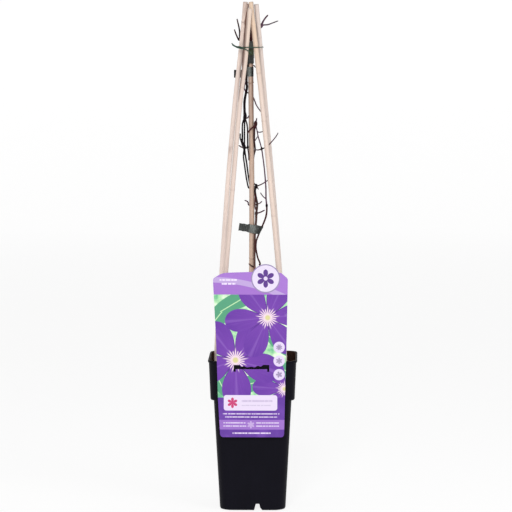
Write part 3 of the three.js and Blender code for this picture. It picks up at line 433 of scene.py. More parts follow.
class Look:
    """A material in the making. Its methods add a node and give back its output. A colour that goes in is
    an output, or three screen values from 0 to 255."""

    def __init__(self, name, roughness, **skin):
        self.material = bpy.data.materials.new(name)
        self.material.use_nodes = True
        self.nodes = self.material.node_tree.nodes
        self.links = self.material.node_tree.links
        self.skin = self.nodes["Principled BSDF"]
        self.skin.inputs["Roughness"].default_value = roughness
        for socket, value in skin.items():
            self.skin.inputs[socket.replace("_", " ")].default_value = value

    def node(self, kind, **settings):
        made = self.nodes.new("ShaderNode" + kind)
        for setting, value in settings.items():
            setattr(made, setting, value)
        return made

    def feed(self, socket, value):
        if isinstance(value, bpy.types.NodeSocket):
            self.links.new(value, socket)
        elif socket.type == "RGBA":
            socket.default_value = (*linear(*value), 1)
        else:
            socket.default_value = value

    def math(self, operation, *values):
        made = self.node("Math", operation=operation)
        for socket, value in zip(made.inputs, values):
            self.feed(socket, value)
        return made.outputs[0]

    plus = partialmethod(math, "ADD")
    minus = partialmethod(math, "SUBTRACT")
    times = partialmethod(math, "MULTIPLY")
    over = partialmethod(math, "DIVIDE")
    power = partialmethod(math, "POWER")
    size = partialmethod(math, "ABSOLUTE")
    larger = partialmethod(math, "MAXIMUM")

    def hypot(self, first, second):
        return self.math("SQRT", self.plus(self.power(first, 2.0), self.power(second, 2.0)))

    def between(self, value, low, high):
        """0 on the side of low and 1 on that of high, with a soft step between them."""
        made = self.node("MapRange", interpolation_type="SMOOTHSTEP")
        for socket, given in zip(made.inputs, (value, low, high)):
            self.feed(socket, given)
        return made.outputs[0]

    def within(self, value, low, high, edge=SOFT):
        """1 from low to high, with soft edges."""
        rise = self.between(value, low - edge, low + edge)
        return self.times(rise, self.between(value, high + edge, high - edge))

    def mix(self, share, first, second, blend="MIX"):
        made = self.node("Mix", data_type="RGBA", blend_type=blend)
        self.feed(made.inputs["Factor"], share)
        self.feed(made.inputs[6], first)  # 6 and 7 are the node's two colours
        self.feed(made.inputs[7], second)
        return made.outputs[2]

    def tint(self, base, color, value, low, high, share=1.0):
        """The base, and a share of the colour where the value has gone from low to high."""
        return self.mix(self.times(self.between(value, low, high), share), base, color)

    def stretch(self, vector, x, y, z):
        made = self.node("VectorMath", operation="MULTIPLY")
        self.feed(made.inputs[0], vector)
        made.inputs[1].default_value = (x, y, z)
        return made.outputs[0]

    def noise(self, vector, scale, detail=3.0, roughness=0.55):
        made = self.node("TexNoise")
        inputs = {"Vector": vector, "Scale": scale, "Detail": detail, "Roughness": roughness}
        for name, value in inputs.items():
            self.feed(made.inputs[name], value)
        return made.outputs["Fac"]

    def streaks(self, vector, across, along, detail=3.0, roughness=0.55):
        """Noise with other scales across Z and along it."""
        return self.noise(self.stretch(vector, across, across, along), 1.0, detail, roughness)

    def ramp(self, share, *stops):
        """Colours in bands. Each stop is its place and its colour."""
        made = self.node("ValToRGB")
        bands = made.color_ramp.elements
        while len(bands) < len(stops):
            bands.new(0.5)
        for band, (place, *color) in zip(bands, stops):
            band.position = place
            band.color = (*linear(*color), 1)
        self.feed(made.inputs[0], share)
        return made.outputs[0]

    def attribute(self, name, output="Fac"):
        return self.node("Attribute", attribute_name=name).outputs[output]

    def grain(self):
        return self.attribute("grain", "Vector")

    def place(self):
        """The place on the object, in millimetres."""
        return self.stretch(self.node("TexCoord").outputs["Object"], 1000, 1000, 1000)

    def parts(self, vector):
        made = self.node("SeparateXYZ")
        self.feed(made.inputs[0], vector)
        return made.outputs

    def painted_crevice_shade(self, base, reach, tint):
        """Painted shade: a colour that turns to a tint where something else comes within a reach in
        millimetres.
        """
        near = self.node("AmbientOcclusion", samples=6)
        near.inputs["Distance"].default_value = reach * MM
        return self.mix(self.between(near.outputs["AO"], 0.75, 0.3), base, tint)

    def color(self, value):
        self.feed(self.skin.inputs["Base Color"], value)

    def roughness(self, value, scale, least):
        self.feed(self.skin.inputs["Roughness"], self.plus(self.times(value, scale), least))

    def bump(self, height, depth):
        """Relief of a depth in millimetres."""
        made = self.node("Bump")
        made.inputs["Distance"].default_value = depth * MM
        self.feed(made.inputs["Height"], height)
        self.links.new(made.outputs[0], self.skin.inputs["Normal"])


class Print(Look):
    """A print on a flat sheet, in the making. ground is what is printed so far. Figures are masks from 0 to 1
    over the sheet's x and y in millimetres, and their first two numbers are their middle."""

    def __init__(self, name, roughness, **skin):
        super().__init__(name, roughness, **skin)
        self.x, _, self.y = self.parts(self.grain())
        self.sheet = self.stretch(self.grain(), 1, 0, 1)
        self.ground = None

    def paint(self, mask, color):
        self.ground = self.mix(mask, self.ground, color)

    def polar(self, cx, cy, turn=0.0):
        across, up = self.minus(self.x, cx), self.minus(self.y, cy)
        return self.hypot(across, up), self.minus(self.math("ARCTAN2", up, across), turn)

    def disc(self, cx, cy, radius, edge=SOFT):
        return self.between(self.polar(cx, cy)[0], radius + edge, radius - edge)

    def box(self, cx, cy, half_width, half_height, corner):
        """A bar with round corners."""
        outs = [self.minus(self.size(self.minus(value, middle)), half - corner)
                for value, middle, half in ((self.x, cx, half_width), (self.y, cy, half_height))]
        reach = self.hypot(*(self.larger(out, 0.0) for out in outs))
        return self.between(reach, corner + SOFT, corner - SOFT)

    def leaf(self, cx, cy, length, width, turn):
        """A pointed leaf and its midrib."""
        reach, angle = self.polar(cx, cy, turn)
        along = self.times(reach, self.math("COSINE", angle))
        out = self.size(self.times(reach, self.math("SINE", angle)))
        limit = self.times(self.minus(1.0, self.power(self.over(along, length), 2.0)), width)
        return self.between(self.minus(limit, out), -0.4, 0.4), self.between(out, 0.9, 0.3)

    def star(self, cx, cy, size, petals, turn=0.0, edge=SOFT, bow=1.7, waist=0.25):
        """A blossom's outline, and where a point lies between two petals' edges (-1 to 1) and from the
        middle. A higher bow makes fuller petals, and they part at waist, a share of their length."""
        reach, angle = self.polar(cx, cy, turn)
        beat = self.math("FRACT", self.times(angle, petals / (2 * math.pi)))
        side = self.times(self.minus(beat, 0.5), 2.0)
        away = self.power(self.size(side), bow)
        limit = self.times(self.power(self.minus(1.0, away), 0.6), size * (1 - waist))
        mask = self.between(self.minus(self.plus(limit, size * waist), reach), -edge, edge)
        return mask, (side, self.over(reach, size))

    def blossom(self, cx, cy, size, petals, turn):
        """Paints a purple blossom: veined petals, and a brush of pale stamens in the middle."""
        mask, (side, reach) = self.star(cx, cy, size, petals, turn, 0.35, 2, 0.24)
        veins = self.node("CombineXYZ")
        for socket, value in zip(veins.inputs, (self.times(side, 6.0), self.times(reach, 1.1), turn * 10)):
            self.feed(socket, value)
        from_crease = self.size(side)
        petal = self.mix(reach, (114, 62, 164), (97, 50, 152))
        petal = self.tint(petal, (128, 82, 178), self.noise(veins.outputs[0], 1.6, 5, 0.75), 0.45, 0.8, 0.5)
        petal = self.tint(petal, (140, 98, 184), from_crease, 0.12, 0.02, 0.4)
        petal = self.tint(petal, (60, 28, 108), from_crease, 0.84, 1.0, 0.75)
        self.paint(mask, petal)
        out, angle = self.polar(cx, cy)
        rays = self.size(self.minus(self.math("FRACT", self.times(angle, 3.5)), 0.5))
        spread = self.over(size * 0.045, self.larger(out, 1.0))
        length = self.plus(self.times(self.math("SINE", self.times(angle, 9.0)), size * 0.05), size * 0.26)
        brush = self.between(self.minus(spread, rays), -0.06, 0.06)
        self.paint(self.times(brush, self.between(out, length, size * 0.18)), (226, 204, 216))
        self.paint(self.disc(cx, cy, size * 0.06, 1.2), (206, 200, 142))

    def dashes(self, cy, left, right, color, half=0.7):
        """Paints a row of short plain dashes, half as high as twice half."""
        bar = self.box((left + right) / 2, cy, (right - left) / 2, half, half * 0.6)
        beat = self.node("TexNoise", noise_dimensions="1D")
        self.feed(beat.inputs["W"], self.plus(self.x, cy * 7.0))
        beat.inputs["Scale"].default_value = 0.55
        self.paint(self.times(bar, self.between(beat.outputs["Fac"], 0.36, 0.44)), color)


def pot_plastic():
    look = Look("moulded_black_plastic", 0.5, Specular_IOR_Level=0.07)
    place = look.place()
    dust = look.noise(place, 1.6, 5, 0.7)
    base = look.mix(look.noise(place, 0.035, 4), (4, 3, 9), (11, 10, 19))
    base = look.mix(look.times(look.streaks(place, 0.35, 0.012), 0.35), base, (18, 17, 29))
    base = look.tint(base, (76, 74, 86), dust, 0.6, 0.8, 0.14)
    x, y, height = look.parts(place)
    reach = look.hypot(*(look.larger(look.minus(look.size(side), COLLAR_FLAT), 0.0) for side in (x, y)))
    from_slope = look.minus(reach, look.times(height, COLLAR_SLOPE))
    inner = COLLAR_FOOT_HALF - COLLAR_FLAT - COLLAR_SLOPE * COLLAR_FOOT - 0.7
    soiled = look.times(look.between(from_slope, inner + 0.2, inner - 0.2), look.between(height, 180, 184))
    look.color(look.mix(look.times(soiled, look.between(dust, 0.2, 0.8)), base, (92, 62, 48)))
    look.roughness(dust, 0.25, 0.36)
    look.bump(look.noise(place, 2.2, 4, 0.6), 0.05)
    return look.material


def compost_look():
    look = Look("crumbly_compost", 0.95)
    crumbs = look.noise(look.place(), 0.9, 6, 0.7)
    soil = look.ramp(crumbs, (0.3, 24, 15, 11), (0.5, 62, 42, 31), (0.75, 104, 76, 55))
    chips = look.ramp(crumbs, (0.3, 96, 66, 44), (0.7, 168, 130, 94))
    look.color(look.mix(look.between(look.attribute("tone"), 0.2, 1.0), soil, chips))
    look.bump(crumbs, 0.6)
    return look.material


def pale_bamboo(name, low, top):
    """Peeled bamboo that goes from the colour low, by the pot, to the colour top."""
    look = Look(name, 0.48, Specular_IOR_Level=0.4)
    grain = look.grain()
    fibres = look.streaks(grain, 3.2, 0.035, 5, 0.6)
    broad = look.streaks(grain, 0.35, 0.012)
    base = look.tint(low, top, look.parts(look.place())[2], 540, 640)
    shade = look.ramp(broad, (0.3, 242, 240, 238), (0.55, 253, 253, 253), (0.75, 255, 253, 246))
    base = look.mix(1.0, base, shade, "MULTIPLY")
    base = look.tint(base, (188, 162, 146), fibres, 0.5, 0.75, 0.4)
    base = look.tint(base, (160, 124, 98), look.streaks(grain, 1.2, 0.25, 4, 0.7), 0.68, 0.76, 0.5)
    # tone: knot scars, stains and painted shade down the flanks, in one dark brown
    base = look.mix(look.attribute("tone"), base, (96, 62, 50))
    # painted shade: the sticks turn brown where other parts come near them
    look.color(look.painted_crevice_shade(base, 3, (118, 78, 62)))
    look.bump(fibres, 0.12)
    return look.material


def brown_bamboo():
    look = Look("tan_bamboo_cane", 0.42)
    grain = look.grain()
    fibres = look.streaks(grain, 2.6, 0.03, 5, 0.6)
    broad = look.streaks(grain, 0.3, 0.018)
    base = look.ramp(broad, (0.3, 178, 152, 136), (0.5, 192, 166, 149), (0.72, 198, 166, 142))
    base = look.tint(base, (216, 185, 161), look.parts(look.place())[2], 400, 320, 0.6)
    base = look.tint(base, (138, 108, 90), fibres, 0.48, 0.75, 0.6)
    base = look.tint(base, (112, 80, 60), look.streaks(grain, 0.5, 0.07, 5, 0.7), 0.6, 0.78, 0.6)
    # tone: knot scars and painted shade down the cane's flanks
    look.color(look.mix(look.attribute("tone"), base, (96, 62, 44)))
    look.roughness(fibres, 0.3, 0.3)
    look.bump(fibres, 0.15)
    return look.material


def bark():
    look = Look("ribbed_vine_bark", 0.75, Specular_IOR_Level=0.12)
    ribs = look.streaks(look.grain(), 2.4, 0.06, 5, 0.65)
    flecks = look.streaks(look.grain(), 1.5, 0.5, 4, 0.6)
    base = look.ramp(look.attribute("tone"), (BROWN, 122, 88, 78), (BLACK, 8, 2, 8), (RED, 68, 28, 30),
                     (MAUVE, 82, 58, 74), (GREY, 78, 70, 74))
    base = look.tint(base, (104, 76, 76), ribs, 0.5, 0.8, 0.2)
    look.color(look.tint(base, (12, 6, 10), flecks, 0.35, 0.2, 0.6))
    look.bump(ribs, 0.25)
    return look.material


def tie_tape():
    look = Look("dark_green_tie_tape", 0.3, Specular_IOR_Level=0.12)
    place = look.place()
    marks_and_painted_light = look.streaks(place, 1.1, 0.22, 4, 0.6)
    tone = look.attribute("tone")
    # tone is painted light: pale grey-green for a painted highlight, near black for painted shade
    base = look.mix(tone, (9, 8, 10), (124, 129, 125))
    base = look.mix(look.within(look.parts(place)[2], 598.5, 606, 1), base, (56, 66, 42))
    # painted highlights: pale streaks, the more where the tone is high; then dark streaky marks
    base = look.tint(base, (196, 206, 200), marks_and_painted_light, 0.54, 0.7, look.times(tone, 0.8))
    look.color(look.tint(base, (16, 16, 18), marks_and_painted_light, 0.46, 0.32, 0.6))
    look.roughness(marks_and_painted_light, 0.35, 0.16)
    look.bump(look.streaks(place, 2.5, 0.8), 0.1)
    return look.material


def tie_wire():
    look = Look("green_coated_wire", 0.35, Specular_IOR_Level=0.3)
    scuffs = look.streaks(look.grain(), 1, 0.4, 4, 0.6)
    look.color(look.mix(scuffs, (14, 44, 34), (44, 84, 64)))
    look.bump(scuffs, 0.08)
    return look.material


# The print's figures: x and y of the middle, length or size, width or petals, and turn.
PRINT_LEAVES = [(-44, 60, 42, 12, 0.9), (-8, 86, 40, 11, -2.6), (44, 20, 36, 11, 2.6), (30, -6, 34, 10, -0.4),
                (-6, -30, 34, 11, -2.9), (-44, -24, 30, 10, -1.1)]
PRINT_BLOSSOMS = [(42, -36, 42, 6, 0.45), (-22, 2, 60, 5, 0.35), (20, 58, 56, 6, 0.62)]
PRINT_DISCS = [(19, 8), (1, 6), (-17, 5)]  # y, and rays of the mark
# Rows of dashes: y, both ends, colour and half of their height.
PALE = (214, 198, 228)
PANEL_ROWS = [(-52, -14, 27, (194, 180, 208), 1.3), (-57.8, -14, 24, (196, 184, 210), 0.7),
              (-69, -38.6, 35.4, PALE, 0.7), (-73.2, -35.6, 32.4, PALE, 0.7)]
FOOT_ROWS = [(-81, -38, -8, PALE, 0.7), (-81, 5, 35, PALE, 0.7), (-85.2, -38, -8, PALE, 0.7),
             (-85.2, 5, 35, PALE, 0.7), (-94.6, -26, 24, PALE, 0.9)]
HEAD_ROWS = [(107.5, -43, -20, (226, 214, 236), 1.1), (102.4, -40, -22, (226, 214, 236), 1.1)]


def label_print():
    """A lilac head with a plain badge, blossoms over leaves, and a dark foot with bare panels."""
    look = Print("printed_label_film", 0.34, Specular_IOR_Level=0.25)
    soft = look.noise(look.sheet, 0.05, 3)
    look.ground = look.ramp(soft, (0.38, 104, 178, 134), (0.5, 168, 216, 168), (0.6, 216, 236, 208))
    for figure in PRINT_LEAVES:
        leaf, rib = look.leaf(*figure)
        look.paint(leaf, look.mix(rib, (82, 152, 118), (184, 222, 170)))
    for figure in PRINT_BLOSSOMS:
        look.blossom(*figure)
    for y, rays in PRINT_DISCS:
        face = look.mix(look.star(35, y, 4.2, rays)[0], (214, 200, 228), (150, 136, 170))
        look.paint(look.disc(35, y, 7.4), face)

    foot = look.tint((94, 54, 148), (110, 68, 164), soft, 0.4, 0.7)
    look.paint(look.between(look.y, -47.2, -47.6), foot)
    look.paint(look.box(-2.4, -54.4, 35, 10.2, 3.4), (218, 206, 228))
    look.paint(look.star(-26, -54.4, 7, 6)[0], (190, 62, 112))
    for row in PANEL_ROWS:
        look.dashes(*row)
    look.paint(look.times(look.within(look.y, -89.8, -77), 0.85), (154, 112, 194))
    look.paint(look.star(-2, -83.4, 5, 6)[0], (184, 158, 208))
    for row in FOOT_ROWS:
        look.dashes(*row)

    fall = look.times(look.power(look.over(look.plus(look.x, 52), 60), 2.0), 9.0)
    sweep = look.minus(look.plus(look.y, fall), 104)
    head = look.tint((154, 108, 192), (180, 156, 206), sweep, -0.3, 0.3)
    look.paint(look.between(look.y, 88.0, 88.5), look.tint(head, (158, 114, 196), sweep, 7, 7.6))
    for row in HEAD_ROWS:
        look.dashes(*row)
    middle = BADGE["x"], BADGE["height"]
    look.paint(look.disc(*middle, 19), (146, 132, 170))
    look.paint(look.disc(*middle, 17.4), (216, 206, 228))
    look.paint(look.star(*middle, 12, 6)[0], (88, 54, 132))
    look.paint(look.disc(*middle, 2.6), (214, 200, 226))
    look.color(look.tint((206, 200, 212), look.ground, look.attribute("tone"), 0.3, 0.7))
    look.bump(look.noise(look.sheet, 0.8, 2), 0.02)
    return look.material


# ---------------- pot and compost
def make_pot():
    """The moulded pot: the solid's own faces, with its moulded edges rounded."""
    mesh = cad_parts["pot"].data.copy()
    work = bmesh.new()
    work.from_mesh(mesh)
    bmesh.ops.remove_doubles(work, verts=work.verts, dist=1e-6)
    bmesh.ops.dissolve_limit(work, angle_limit=math.radians(0.6), verts=work.verts, edges=work.edges)
    work.to_mesh(mesh)
    work.free()
    pot = placed("pot_shell", mesh, pot_plastic())
    bevelled(pot, "moulded_edges", POT_EDGE, 32)
    normals = pot.modifiers.new("flat_walls", "WEIGHTED_NORMAL")
    normals.keep_sharp = False
    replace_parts(applied(pot), "pot")


def soil_height(x, y):
    """The compost's surface: slow swells, lumps and crumbs."""
    swell = 0.9 * math.sin(0.21 * x + 1) * math.cos(0.17 * y) + 0.6 * math.sin(0.33 * y + 0.12 * x)
    lumps = 1.3 * rough(0.16 * x, 0.16 * y, 0.4) + 0.7 * rough(0.45 * x, 0.45 * y, 7.1)
    return SOIL_TOP + 0.3 + swell + lumps + 0.35 * rough(1.3 * x, 1.3 * y, 3.3)


def rounded_square(share, count):
    """count points round a square with round corners, its size a share of the compost's surface."""
    half, corner = SOIL_HALF * share, SOIL_CORNER * share
    straight = 2 * (half - corner)
    quarter = corner * math.pi / 2
    points = []
    for place in np.linspace(0, 4 * (straight + quarter), count, endpoint=False):
        side, rest = divmod(place, straight + quarter)
        if rest < straight:
            x, y = half, rest - straight / 2
        else:
            angle = (rest - straight) / corner
            x, y = half - corner + corner * math.cos(angle), straight / 2 + corner * math.sin(angle)
        turn = side * math.pi / 2
        points.append((x * math.cos(turn) - y * math.sin(turn), x * math.sin(turn) + y * math.cos(turn)))
    return points


ICOSAHEDRON = bmesh.new()
bmesh.ops.create_icosphere(ICOSAHEDRON, subdivisions=1, radius=1)
CRUMB_POINTS = np.array([vert.co for vert in ICOSAHEDRON.verts])
CRUMB_FACES = [[vert.index for vert in face.verts] for face in ICOSAHEDRON.faces]
ICOSAHEDRON.free()


def make_compost():
    """The compost's loose top: a lumpy sheet of it, closed underneath, with crumbs and bark chips on it."""
    top = Shape()
    count, rings = 132, 30
    surface = [[(x, y, soil_height(x, y)) for x, y in rounded_square(1 - ring / rings, count)]
               for ring in range(rings)]
    foot = [[(x, y, SOIL_TOP - CRUST) for x, y in rounded_square(share, count)] for share in (0.3, 0.7, 1)]
    top.add(np.array(foot + surface), capped(len(foot) + rings, count))
    for _ in range(CRUMBS):
        x, y = (draw.uniform(-1, 1) * (SOIL_HALF - CRUMB_MARGIN) for _ in range(2))
        reach = math.hypot(*(max(0, abs(c) - SOIL_HALF + SOIL_CORNER) for c in (x, y)))
        if reach > SOIL_CORNER - CRUMB_MARGIN:
            continue
        chip = draw.random() < CHIP_SHARE
        size = draw.lognormvariate(-0.35, 0.42)
        length, height = (3.2, 0.5) if chip else (draw.uniform(0.8, 1.4), 0.8)
        scale = np.array([size * length, size, size * height])
        lumps = CRUMB_POINTS * (1 + np.array([[draw.uniform(-0.25, 0.25)] for _ in CRUMB_POINTS])) * scale
        turn, tip = draw.uniform(0, math.pi), draw.uniform(-0.5, 0.5)
        c, s = math.cos(turn), math.sin(turn)
        spin = np.array([[c, -s, 0], [s, c, 0], [0, 0, 1]])
        c, s = math.cos(tip), math.sin(tip)
        tilt = np.array([[c, 0, -s], [0, 1, 0], [s, 0, c]])
        middle = np.array([x, y, soil_height(x, y) + 0.25 * size])
        top.add(lumps @ (spin @ tilt).T + middle, CRUMB_FACES, tone=0.9 if chip else draw.uniform(0, 0.45))
    material = compost_look()
    top.piece("compost_crumbs", material)
    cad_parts["compost"].data.materials.clear()
    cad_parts["compost"].data.materials.append(material)


# ---------------- sticks and cane
ROD_RING_GAP = 5
KNOT_RINGS = (-4, -2.6, -1.8, -1.2, -0.7, -0.3, 0, 0.4, 0.9, 1.6, 2.6, 4)
BAMBOO_SIDES = 32


def bamboo(name, node, route, radius, knots, material, bore):
    """A bamboo rod: nearly round, with a low ridge and a scar at each knot, its stains and painted shade, and
    a cut end.
    """
    dense = centripetal(route)
    total = lengths_along(dense)[-1]
    places = {0, 0.15, 0.5, total - 0.5, total - 0.15, total}
    places.update(np.arange(4, total - 2, ROD_RING_GAP))
    for knot, _, _ in knots:
        places.update(knot + offset for offset in KNOT_RINGS)
    places = np.array(sorted(places))
    turn = around(BAMBOO_SIDES)
    seed = len(name) + route[0][0]
    body = np.array([[1 + 0.018 * rough(math.cos(a), math.sin(a), place * 0.012, seed)
                      + 0.006 * math.cos(2 * a + place * 0.004) for a in turn] for place in places])
    middles, ridge, scar = np.array(knots).T
    offsets = places[:, None] - middles
    bulges = np.exp(-((offsets - 0.3) / 0.9) ** 2) - 0.75 * np.exp(-((offsets + 1.1) / 0.5) ** 2)
    ridges = (ridge * bulges).sum(1)
    marks_and_painted_light = (scar * np.exp(-((offsets + 0.6) / 1.1) ** 2)).max(1)[:, None] * np.ones(BAMBOO_SIDES)
    # stains, and painted shade down the flanks where the rods face each other or turn from the light
    for start, end, middle, half, dark in STAINS_AND_PAINTED_SHADE[node]:
        along = np.clip(1 - ((2 * places - start - end) / (end - start)) ** 2, 0, 1) ** 0.5
        away = np.abs((np.degrees(turn) - middle + 180) % 360 - 180)
        marks_and_painted_light = np.maximum(marks_and_painted_light, dark * along[:, None] * np.clip(1.6 * (1 - away / half), 0, 1))
    bevel = np.interp(np.minimum(places, total - places), [0, 0.15, 0.3, 0.5], [0.35, 0.2, 0.1, 0])
    path = places_on(dense, places)
    rod = Shape()
    rod.rod(path, radius * body + ridges[:, None] - bevel[:, None], BAMBOO_SIDES, marks_and_painted_light, bore)
    piece = rod.piece(name, material)
    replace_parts(piece, node)


# Stains and painted shade: the long dark bands down the flanks are painted shade, where the rods face each
# other or turn from the light, and the short ones are marks. Each is where it starts and ends along the rod,
# its middle angle round the rod from the back to the left, its half width as an angle, and how dark it is.
STAINS_AND_PAINTED_SHADE = {
    "stick_front_left": [(384, 500, 118, 60, 0.8), (455, 512, 95, 40, 0.8)],
    "stick_back_left": [(396, 520, 262, 44, 0.5), (494, 530, 180, 100, 0.25), (487, 495, 238, 66, 0.9),
                        (315, 326, 150, 50, 0.3)],
    "stick_front_right": [(429, 432, 200, 30, 0.3), (492, 532, 262, 48, 0.55)],
    "stick_back_right": [(468, 524, 102, 52, 0.6)],
    "cane": [(430, 580, 240, 64, 0.85), (290, 450, 256, 46, 0.5), (60, 380, 262, 34, 0.15),
             (60, 420, 98, 34, 0.2)],
}
# Each stick's colours, by the pot and at the top.
STICK_COLORS = {
    "stick_front_left": ((213, 194, 184), (215, 195, 181)),
    "stick_back_left": ((229, 211, 202), (234, 213, 202)),
    "stick_front_right": ((219, 200, 189), (216, 191, 168)),
    "stick_back_right": ((214, 199, 191), (211, 197, 190)),
}


def make_supports():
    for name, stick in STICKS.items():
        look = pale_bamboo(name + "_bamboo", *STICK_COLORS[name])
        bamboo(name + "_pole", name, stick["route"], STICK_RADIUS, stick["knots"], look,
               STICK_BORE)
    bamboo("cane_pole", "cane", CANE_ROUTE, CANE_RADIUS, CANE_KNOTS, brown_bamboo(),
           CANE_BORE)


# ---------------- vine
STEM_SIDES = 14
STEM_STEP = 0.9  # between a strand's rings
RIB_COUNT = 7
VINE_VOXEL = 0.26
VINE_SHRINKAGE = 0.05  # what melting and smoothing take off a thin rod's radius


def make_vine():
    """The vine's strands and joints as ribbed rods, melted into one skin that keeps their grain and tone."""
    rods = Shape()
    turn = around(STEM_SIDES)
    for number, (first, last, tone, end_tone, route) in enumerate(STRANDS):
        path = smooth_path(route, STEM_STEP)
        share = np.linspace(0, 1, len(path))
        radius = (first + (last - first) * share) / 2 + VINE_SHRINKAGE
        knobs = np.array([1 + 0.1 * rough(0.11 * p[2], 0.3 * p[0], number * 3.7) for p in path])
        ribs = 1 + 0.06 * np.cos(RIB_COUNT * turn + 0.5 * number)
        tip = np.clip((1 - share) * len(path) * STEM_STEP / radius, 0, 1)
        rounding = np.sqrt(np.clip(1 - (1 - tip) ** 2, 0.3, 1)) if end_tone > 0.7 else 1.0
        tones = tone + (end_tone - tone) * share
        rods.rod(path, (radius * knobs * rounding)[:, None] * ribs, STEM_SIDES, tones)
    for (x, y, z), radius, tone in SWELLINGS:
        heights = np.linspace(-1, 1, 9)
        knuckle = [(x, y, z + radius * 1.5 * height) for height in heights]
        width = (radius * 0.86 + VINE_SHRINKAGE) * np.sqrt(np.clip(1 - heights ** 2, 0.02, 1))
        rods.rod(knuckle, width, STEM_SIDES, tone)
    whole = rods.piece("vine_rods")
    skin = whole.modifiers.new("one_skin", "REMESH")
    skin.mode = "VOXEL"
    skin.voxel_size = VINE_VOXEL * MM
    soften = whole.modifiers.new("soften", "SMOOTH")
    soften.factor = 0.5
    soften.iterations = 2
    mesh = applied(whole).data.copy()
    bpy.data.objects.remove(whole)
    points, grain, tones = np.vstack(rods.points), np.vstack(rods.grain), np.concatenate(rods.tone)
    tree = KDTree(len(points))
    for index, point in enumerate(points):
        tree.insert(point, index)
    tree.balance()
    nearest = [tree.find(vert.co / MM)[1] for vert in mesh.vertices]
    mark(mesh, grain[nearest], tones[nearest])
    vine = placed("vine_stems", mesh, bark())
    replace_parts(vine, "clematis_vine")


# ---------------- ties
def hull(points):
    """The convex outline of flat points, counter-clockwise."""
    points = sorted(points)
    outline = []
    for row in (points, points[::-1]):
        chain = []
        for p in row:
            while len(chain) > 1:
                (ax, ay), (bx, by) = chain[-2:]
                if (bx - ax) * (p[1] - ay) - (by - ay) * (p[0] - ax) > 1e-9:
                    break
                chain.pop()
            chain.append(p)
        outline += chain[:-1]
    return outline


def band_outline(circles, growth, count=96):
    """The line of a band drawn tight round circles (x, y, radius), as evenly spaced points."""
    corners = [(x + (radius + growth) * math.cos(a), y + (radius + growth) * math.sin(a))
               for x, y, radius in circles for a in around(60)]
    line = np.array(hull(corners))
    line = np.vstack([line, line[:1]])
    line = np.column_stack([line, np.zeros(len(line))])
    return places_on(line, np.linspace(0, lengths_along(line)[-1], count, endpoint=False))[:, :2]


def wound_tape(shape, circles, foot, height, thickness, tone, gap=GAP, shift=lambda points: points):
    """A band of tape with the outline of what it holds. thickness(place, level) is how far its outer face
    stands off, for a place from 0 to 1 round it and a level from 0 to 1 up it. tone(x, level) is how pale
    it is."""
    levels = np.linspace(0, 1, 25)
    base = band_outline(circles, gap)
    outward = band_outline(circles, gap + 1) - base
    rings = []
    for outer, climb in ((False, levels), (True, levels[::-1])):
        for level in climb:
            stand = [thickness(index / len(base), level) if outer else 0 for index in range(len(base))]
            line = base + outward * np.array(stand)[:, None]
            rings.append(np.column_stack([line, np.full(len(line), foot + height * level)]))
    rings = np.array(rings)
    shape.ring_of_rings(shift(rings), tone(rings[..., 0], (rings[..., 2] - foot) / height))


def turns_of_tape(count, thin, step, wrinkle, slant, seed):
    """The outer face of tape wound in overlapping turns: a step at each turn's edge, and fine wrinkles."""
    def thickness(place, level):
        turn = level * count + slant * place
        lap = turn - math.floor(turn)
        edge = 0.12 if level in (0.0, 1.0) else 0
        angle = 2 * math.pi * place
        creases = wrinkle * rough(math.cos(angle) * 3, math.sin(angle) * 3, level * 2, seed)
        return thin + step * (1 - lap) + creases - edge
    return thickness


def tape_strip(shape, route, foot, height, thick, pleats, tone):
    """The flat end of a tape, on edge along a route: two layers pressed together and pleated across."""
    path = smooth_path(route, 0.4)
    ahead = unit(np.gradient(path, axis=0))
    side = np.column_stack([-ahead[:, 1], ahead[:, 0], 0 * ahead[:, 0]])
    along = lengths_along(path)
    levels = np.linspace(0, 1, 9)
    rings = []
    for face, climb in ((-1, levels), (1, levels[::-1])):
        for level in climb:
            fold = pleats * np.sin(2.3 * along + 3 * level + 0.6 * np.sin(0.8 * height * level))
            thin = 0.25 if level in (0.0, 1.0) else 0.0
            edge = foot + level * height + 0.35 * np.sin(0.9 * along + 2) * (level - 0.5)
            out = face * (thick / 2 - thin) + fold
            rings.append(path + side * out[:, None] + np.outer(edge, (0, 0, 1.0)))
    rings = np.stack(rings, axis=1)
    count, sides = rings.shape[:2]
    faces = wall(count, sides, turned=True)
    for start, turned in ((0, True), ((count - 1) * sides, False)):
        half = sides // 2
        for j in range(half - 1):
            cap = [start + j, start + j + 1, start + sides - 2 - j, start + sides - 1 - j]
            faces.append(cap if turned else cap[::-1])
    shape.add(rings, faces, tone=tone)


def middle_painted_light(x, _):
    """Painted light on the middle tape: dark, painted shade, where it lies against the stem and on its right,
    and a pale painted highlight in between.
    """
    return np.interp(x, [-8.5, -7, -4.5, -2.6, -1.2], [0, 0.45, 0.75, 0.4, 0])


def low_painted_light(x, _):
    """Painted light on the low tape: a pale painted highlight in the middle, where it shines, and dark at its
    right end.
    """
    return np.interp(x, [-6, -3, 1, 4, 8], [0.32, 0.72, 0.74, 0.3, 0.1])


